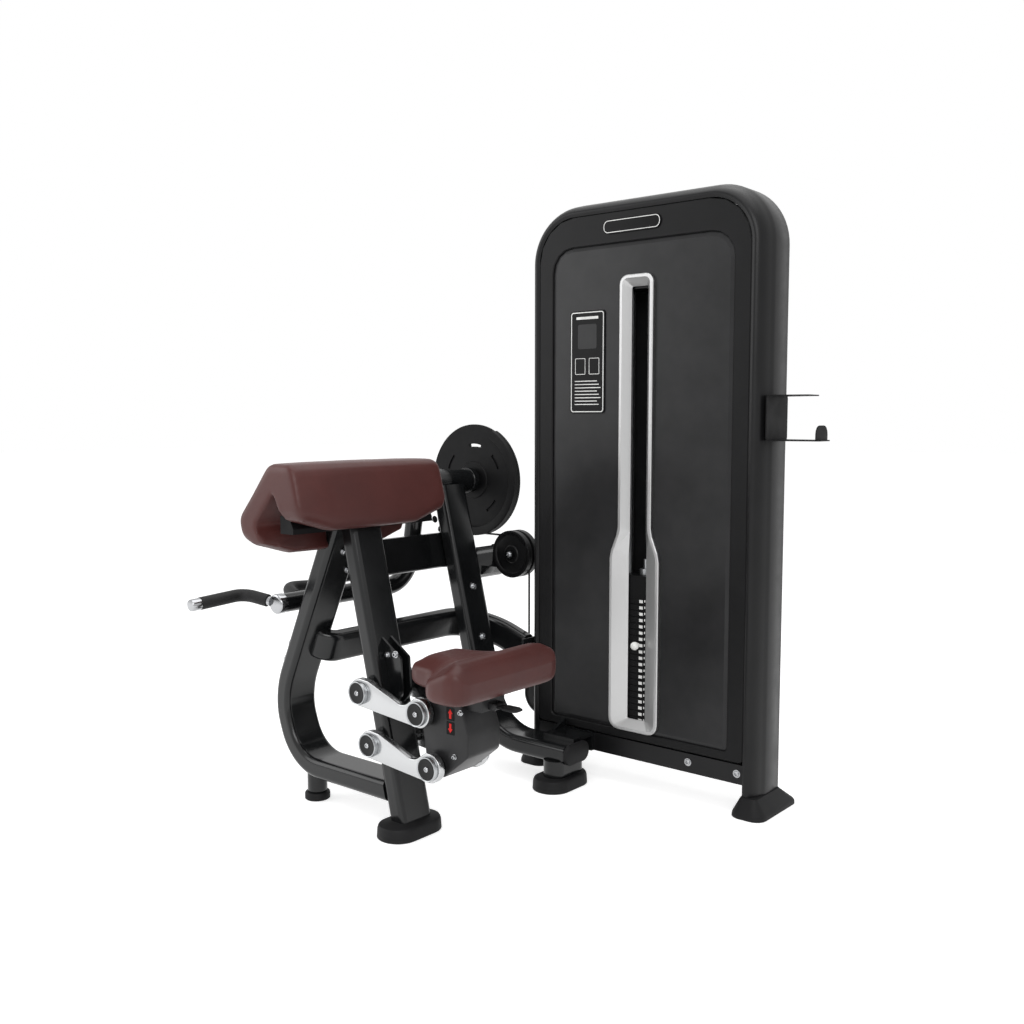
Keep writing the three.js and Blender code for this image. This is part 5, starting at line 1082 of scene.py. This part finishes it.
# The carriage's side view as (x, z, corner radius), its half depth, and the box under the seat.
CARRIAGE_OUTLINE = (
    (-168, 352, 14), (-38, 360, 8), (-14, 290, 60), (-16, 240, 18), (-98, 174, 16), (-146, 214, 20),
)
CARRIAGE_HALF = 56
BOX_HALF = 40
# The lever's two ears and the pin between them.
EAR_OUTLINE = ((2, 348, 3), (34, 348, 7.9), (34, 364, 7.9), (2, 364, 3))
EAR_SIDE = 11.6
EAR_THICKNESS = 5
LEVER_PIN = (26, 356)
# The two height labels: their left and right, each one's lower and upper end, and its arrow's point.
LABEL_X = (-80, -56)
LABELS = ((319, 347, 1), (286, 314, -1))
ARROW_SHARES = ((0, 1), (7, 0.1), (3.2, 0.1), (3.2, -1), (-3.2, -1), (-3.2, 0.1), (-7, 0.1))


class CURL_OT_seat_frame(bpy.types.Operator):
    """Forge the polished links, their capped joints, the carriage and its lever"""

    bl_idname = "curl.seat_frame"
    bl_label = "Seat frame"

    def execute(self, context):
        pins = {"upper": UPPER_LINK, "lower": LOWER_LINK}
        for pair, pin in pins.items():
            for side, name in ((-1, "front"), (1, "back")):
                link = self.link(pin, FRONT_Y + side * LINK_SIDE)
                node = f"link_{pair}_{name}"
                done(link, f"{node}_forging", "polished", f"{pair}_links", stands_for=[node])
            joint = merged(*self.joint(pin, POST_BARREL))
            done(joint, f"link_pin_{pair}_joint", "enamel", stands_for=[f"link_pin_{pair}"])
            self.caps(f"post_{pair}", pin, "base")
        ends = {pair: (pin[0] + LINK_RUN[0], pin[1] + LINK_RUN[1]) for pair, pin in pins.items()}
        for pair, end in ends.items():
            self.caps(f"carriage_{pair}", end, "seat")
        self.carriage(ends.values())
        self.labels()
        bolts(((-312, FRONT_Y - 17, 428), (-284, FRONT_Y - 17, 433)), (0, -1, 0), "seat_bracket_screw", 6)
        return {"FINISHED"}

    def link(self, pin, y):
        run = math.hypot(*LINK_RUN)
        corners = [(run * share + extra, height, radius) for share, extra, height, radius in LINK_OUTLINE]
        lean = math.atan2(LINK_RUN[1], LINK_RUN[0])
        c, s = math.cos(lean), math.sin(lean)
        outline = [(pin[0] + p.x * c - p.y * s, pin[1] + p.x * s + p.y * c) for p in rounded(corners, 6)]
        return plate_y(outline, y - LINK_HALF, y + LINK_HALF, 2.2, 3)

    def joint(self, pin, inside):
        """The barrels and pins of one joint, to both sides."""
        x, z = pin
        run = BARREL_END - inside
        small = BARREL_RADIUS - 1.5
        profile = [(PIN_RADIUS, 0), (small, 0), (BARREL_RADIUS, 1.5), (BARREL_RADIUS, run - 1.5)]
        profile += [(small, run), (PIN_RADIUS, run)]
        pieces = []
        for side in (-1, 1):
            near = (x, FRONT_Y + side * inside, z)
            pieces.append(turned(profile, near, (0, side, 0), 48))
            pieces.append(rod(near, (x, FRONT_Y + side * PIN_END, z), PIN_RADIUS, 24, 0))
        return pieces

    def caps(self, name, pin, body):
        """Dished black caps with a bright rim ring and a screw in the middle."""
        for side, end in ((-1, "front"), (1, "back")):
            face = (pin[0], FRONT_Y + side * CAP_SIDE, pin[1])
            for part, finish, slot, steps, profile in CAP_TURNINGS:
                piece = turned(profile, face, (0, side, 0), steps)
                done(piece, f"{name}_{part}_{end}", finish, body)

    def carriage(self, ends):
        front, back = FRONT_Y - CARRIAGE_HALF, FRONT_Y + CARRIAGE_HALF
        cover = plate_y(rounded(CARRIAGE_OUTLINE), front, back, 4, 3)
        sides = oblong(-128, FRONT_Y - BOX_HALF, 12, FRONT_Y + BOX_HALF)
        box = plate([(p.x, p.y, 345) for p in sides], (0, 0, 45.5), 2)
        ears = []
        for side in (-1, 1):
            faces = sorted((FRONT_Y + side * EAR_SIDE, FRONT_Y + side * (EAR_SIDE + EAR_THICKNESS)))
            ears.append(plate_y(rounded(EAR_OUTLINE), *faces, 0.8))
        barrels = [piece for end in ends for piece in self.joint(end, CARRIAGE_BARREL)]
        x, z = LEVER_PIN
        pin = rod((x, FRONT_Y - 16, z), (x, FRONT_Y + 16, z), 3, 16, 0)
        done(merged(cover, box, pin, *ears), "carriage_cover", "cover", "seat", stands_for=["carriage"])
        done(merged(*barrels), "carriage_barrels", "enamel", "seat")
        give("seat_lever", "rubber")
        bolts(((-36, front, 341), (-55, front, 236)), (0, -1, 0), "carriage_screw", 4.5, "seat")

    def labels(self):
        """A black label with a red arrow up, and one with an arrow down."""
        front = FRONT_Y - CARRIAGE_HALF
        left, right = LABEL_X
        for k, (low, high, point) in enumerate(LABELS):
            field = plate_y(oblong(left, low - 1, right, high + 1, 2), front - 0.8, front - 0.05)
            done(field, f"height_label_{k}", "sign", "seat")
            x, z, half = (left + right) / 2, (low + high) / 2, (high - low) / 2 - 3
            outline = [(x + across, z + point * share * half) for across, share in ARROW_SHARES]
            arrow = plate_y(outline, front - 1.2, front - 0.6)
            done(arrow, f"height_arrow_{k}", "red", "seat")


# Rounds of averaging that take the wrinkles out of the simulated swell.
EVENING_ROUNDS = 60
# The seat is this share of its CAD height. Behind a crest at this x it slopes down to the rear
# wall, first gently and then more, by these drops in metres.
SEAT_HEIGHT_SHARE = 0.94
SEAT_CREST = 42
SEAT_REAR = 71
SLOPE_DROP = (0.011, 0.026)
# How near to a station a vertex counts for the crest's line, across it and along it, in metres.
CREST_NEAR = 0.005
STATION_NEAR = 0.009
STATIONS = 31
PADS = (("arm_pad", "base", "pad_swell", 4), ("seat_pad", "seat", "seat_swell", 5))


def per_vertex(piece, what="co"):
    flat = np.empty(len(piece.data.vertices) * 3)
    piece.data.vertices.foreach_get(what, flat)
    return flat.reshape(-1, 3)


def reshaped(piece, places):
    piece.data.vertices.foreach_set("co", places.ravel())
    piece.data.update()


def creased(piece):
    """Settles the seat to its real height and slopes its back down from one long crest."""
    crest, rear = at(SEAT_CREST, 0, 0).x, at(SEAT_REAR, 0, 0).x
    places = per_vertex(piece)
    floor = places[:, 2].min()
    places[:, 2] = floor + (places[:, 2] - floor) * SEAT_HEIGHT_SHARE
    ridge = places[np.abs(places[:, 0] - crest) < CREST_NEAR]
    stations = np.linspace(ridge[:, 1].min(), ridge[:, 1].max(), STATIONS)
    tops = [ridge[np.abs(ridge[:, 1] - y) < STATION_NEAR, 2].max() for y in stations]
    share = np.clip((places[:, 0] - crest) / (rear - crest), 0, 1)
    drop = SLOPE_DROP[0] * share + SLOPE_DROP[1] * share * share
    lid = np.interp(places[:, 1], stations, tops) - drop
    behind = places[:, 0] > crest
    places[behind, 2] = np.minimum(places[behind, 2], lid[behind])
    reshaped(piece, places)


def evened(moves, piece, rounds):
    """The same moves, each averaged with its neighbours' so that no wrinkle is left."""
    ends = np.empty(len(piece.data.edges) * 2, dtype=int)
    piece.data.edges.foreach_get("vertices", ends)
    ends = ends.reshape(-1, 2)
    count = np.bincount(ends.ravel(), minlength=len(moves))[:, None]
    for _ in range(rounds):
        total = np.zeros_like(moves)
        np.add.at(total, ends[:, 0], moves[ends[:, 1]])
        np.add.at(total, ends[:, 1], moves[ends[:, 0]])
        moves = (moves + total / count) / 2
    return moves


def swollen(piece, limit, sizes, softening):
    """Foam under its cover: remeshed, blown up a little as cloth, and capped in how far it moves."""
    apply_modifier(piece, "REMESH", mode="VOXEL", voxel_size=sizes.voxel)
    apply_modifier(piece, "SMOOTH", factor=0.5, iterations=softening)
    before, normals = per_vertex(piece), per_vertex(piece, "normal")
    only(piece)
    cloth = piece.modifiers.new("cloth", "CLOTH")
    cloth.settings.use_pressure = True
    cloth.settings.uniform_pressure_force = 4
    cloth.settings.effector_weights.gravity = 0
    cloth.settings.tension_stiffness = 30
    cloth.settings.bending_stiffness = 4
    scene = bpy.context.scene
    for step in range(1, sizes.steps + 1):
        scene.frame_set(step)
    bpy.ops.object.modifier_apply(modifier="cloth")
    scene.frame_set(1)
    swell = np.clip(((per_vertex(piece) - before) * normals).sum(axis=1, keepdims=True), 0, limit)
    reshaped(piece, before + evened(normals * swell, piece, EVENING_ROUNDS))


class CURL_OT_pads(bpy.types.Operator):
    """Upholster the arm pad and the seat"""

    bl_idname = "curl.pads"
    bl_label = "Pads"

    def execute(self, context):
        sizes = context.scene.curl_sizes
        for node, body, limit, softening in PADS:
            pad = carry_copy(node)
            swollen(pad, getattr(sizes, limit), sizes, softening)
            if node == "seat_pad":
                creased(pad)
                apply_modifier(pad, "SMOOTH", factor=0.5, iterations=2)
            apply_modifier(pad, "SUBSURF", levels=1, render_levels=1)
            done(pad, f"{node}_upholstery", "leather", body, stands_for=[node], angle=HIDE_EDGE)
        return {"FINISHED"}


# The frame's screws: name, head radius, direction and places.
FRAME_BOLTS = (
    ("leg_bolt", 8, (0.907, 0, -0.42), ((-485, FRONT_Y, 667), (-509, FRONT_Y + 33, 615))),
    ("leg_outer_bolt", 8, (-0.907, 0, 0.42), ((-659, FRONT_Y - 30, 413), (-679, FRONT_Y - 30, 370))),
    ("flange_bolt", 7, (-1, 0, -REAR_LEAN),
     ((-604, -135, 708), (-597, -118, 678), (-567, -108, 559), (-560, -110, 533))),
    ("rear_post_bolt", 8, (1, 0, REAR_LEAN), ((-496.7, REAR_Y, 516), (-461, REAR_Y, 373))),
)


class CURL_OT_frame_bolts(bpy.types.Operator):
    """Screw the frame together"""

    bl_idname = "curl.frame_bolts"
    bl_label = "Frame bolts"

    def execute(self, context):
        for name, radius, normal, places in FRAME_BOLTS:
            bolts(places, normal, name, radius)
        return {"FINISHED"}


# The camera solved from the picture's vanishing lines: its place, pitch, turn and lens.
CAMERA_PLACE = (1568.5, -2395, 1000)
CAMERA_PITCH = 4.953
CAMERA_TURN = 39.76
CAMERA_LENS = 37.83
SENSOR_WIDTH = 36
FLOOR_SIZE = 60
FLOOR_DROP = 0.0005
FLOOR_GLOW = 0.6
# Soft boxes: name, place and size in metres, and watts. They aim at the machine's waist.
LAMPS = (
    ("key", (2.6, -3.2, 3.2), 2.6, 84),
    ("fill", (-3.2, -2.6, 2.2), 2.8, 52),
    ("top", (0.2, 0.2, 4.2), 3.6, 62),
)
LAMP_AIM = Vector((0, -0.1, 0.7))
# The room's light on surfaces, and as seen, mirrored or looked through.
ROOM_LIGHT = 0.5
ROOM_SEEN = 1.0
WHITE = (1, 1, 1, 1)


def either(tree, first, second):
    """A node that is 1 where one of two rays is."""
    return add_node(tree, "ShaderNodeMath", None, {0: first, 1: second}, operation="MAXIMUM")


class CURL_OT_stage(bpy.types.Operator):
    """Lay the pale floor, light it softly and set the camera"""

    bl_idname = "curl.stage"
    bl_label = "Stage"

    def execute(self, context):
        scene = context.scene
        scene.view_settings.view_transform = "Standard"
        deselect()
        turn = (math.radians(90 - CAMERA_PITCH), 0, math.radians(CAMERA_TURN))
        bpy.ops.object.camera_add(location=at(*CAMERA_PLACE), rotation=turn)
        camera = context.object
        camera.data.lens = CAMERA_LENS
        camera.data.sensor_width = SENSOR_WIDTH
        scene.camera = camera
        bpy.ops.mesh.primitive_plane_add(size=FLOOR_SIZE, location=(0, 0, -FLOOR_DROP))
        floor = context.object
        floor.name = "floor"
        floor.data.materials.append(self.paper())
        for name, place, size, power in LAMPS:
            bpy.ops.object.light_add(type="AREA", location=place)
            lamp = context.object
            lamp.name = name
            lamp.data.size = size
            lamp.data.energy = power
            lamp.rotation_euler = (LAMP_AIM - Vector(place)).to_track_quat("-Z", "Y").to_euler()
        scene.world = bpy.data.worlds.new("studio")
        scene.world.use_nodes = True
        self.room(scene.world.node_tree)
        return {"FINISHED"}

    def paper(self):
        """Seamless paper: matt and near white, and lit up where it is seen so that no horizon shows."""
        material, tree, shader, _ = surface("seamless_paper", linear("#f4f4f4"), 0.95, gloss=0.1)
        rays = add_node(tree, "ShaderNodeLightPath").outputs
        seen = either(tree, rays["Is Camera Ray"], rays["Is Glossy Ray"])
        glow = add_node(tree, "ShaderNodeMath", {1: FLOOR_GLOW}, {0: seen}, operation="MULTIPLY")
        shader.inputs["Emission Color"].default_value = WHITE
        feed(tree, shader, {"Emission Strength": glow})
        return material

    def room(self, tree):
        """A white room, dimmer as a lamp than it looks."""
        rays = add_node(tree, "ShaderNodeLightPath").outputs
        seen = either(tree, rays["Is Camera Ray"], rays["Is Glossy Ray"])
        seen = either(tree, seen, rays["Is Transmission Ray"])
        level = add_node(tree, "ShaderNodeMapRange", spread(ROOM_LIGHT, ROOM_SEEN), {"Value": seen})
        light = tree.nodes["Background"]
        light.inputs["Color"].default_value = WHITE
        feed(tree, light, {"Strength": level})


OPERATORS = (
    CURL_OT_stage,
    CURL_OT_finishes,
    CURL_OT_tower,
    CURL_OT_frame_tubes,
    CURL_OT_drive,
    CURL_OT_swing_arm,
    CURL_OT_seat_frame,
    CURL_OT_pads,
    CURL_OT_frame_bolts,
)


class CURL_PT_machine(bpy.types.Panel):
    """The steps that dress the machine"""

    bl_idname = "CURL_PT_machine"
    bl_label = "Curl machine"
    bl_space_type = "VIEW_3D"
    bl_region_type = "UI"
    bl_category = "Curl machine"

    def draw(self, context):
        for operator in OPERATORS:
            self.layout.operator(operator.bl_idname)


CLASSES = (CurlMachineFinish, CurlMachineSizes, *OPERATORS, CURL_PT_machine)


def register():
    for item in CLASSES:
        bpy.utils.register_class(item)
    bpy.types.Scene.curl_finish = PointerProperty(type=CurlMachineFinish)
    bpy.types.Scene.curl_sizes = PointerProperty(type=CurlMachineSizes)


def unregister():
    del bpy.types.Scene.curl_sizes
    del bpy.types.Scene.curl_finish
    for item in reversed(CLASSES):
        bpy.utils.unregister_class(item)


def main():
    register()
    for operator in OPERATORS:
        group, step = operator.bl_idname.split(".")
        getattr(getattr(bpy.ops, group), step)()
    deselect()


if __name__ == "__main__":
    main()
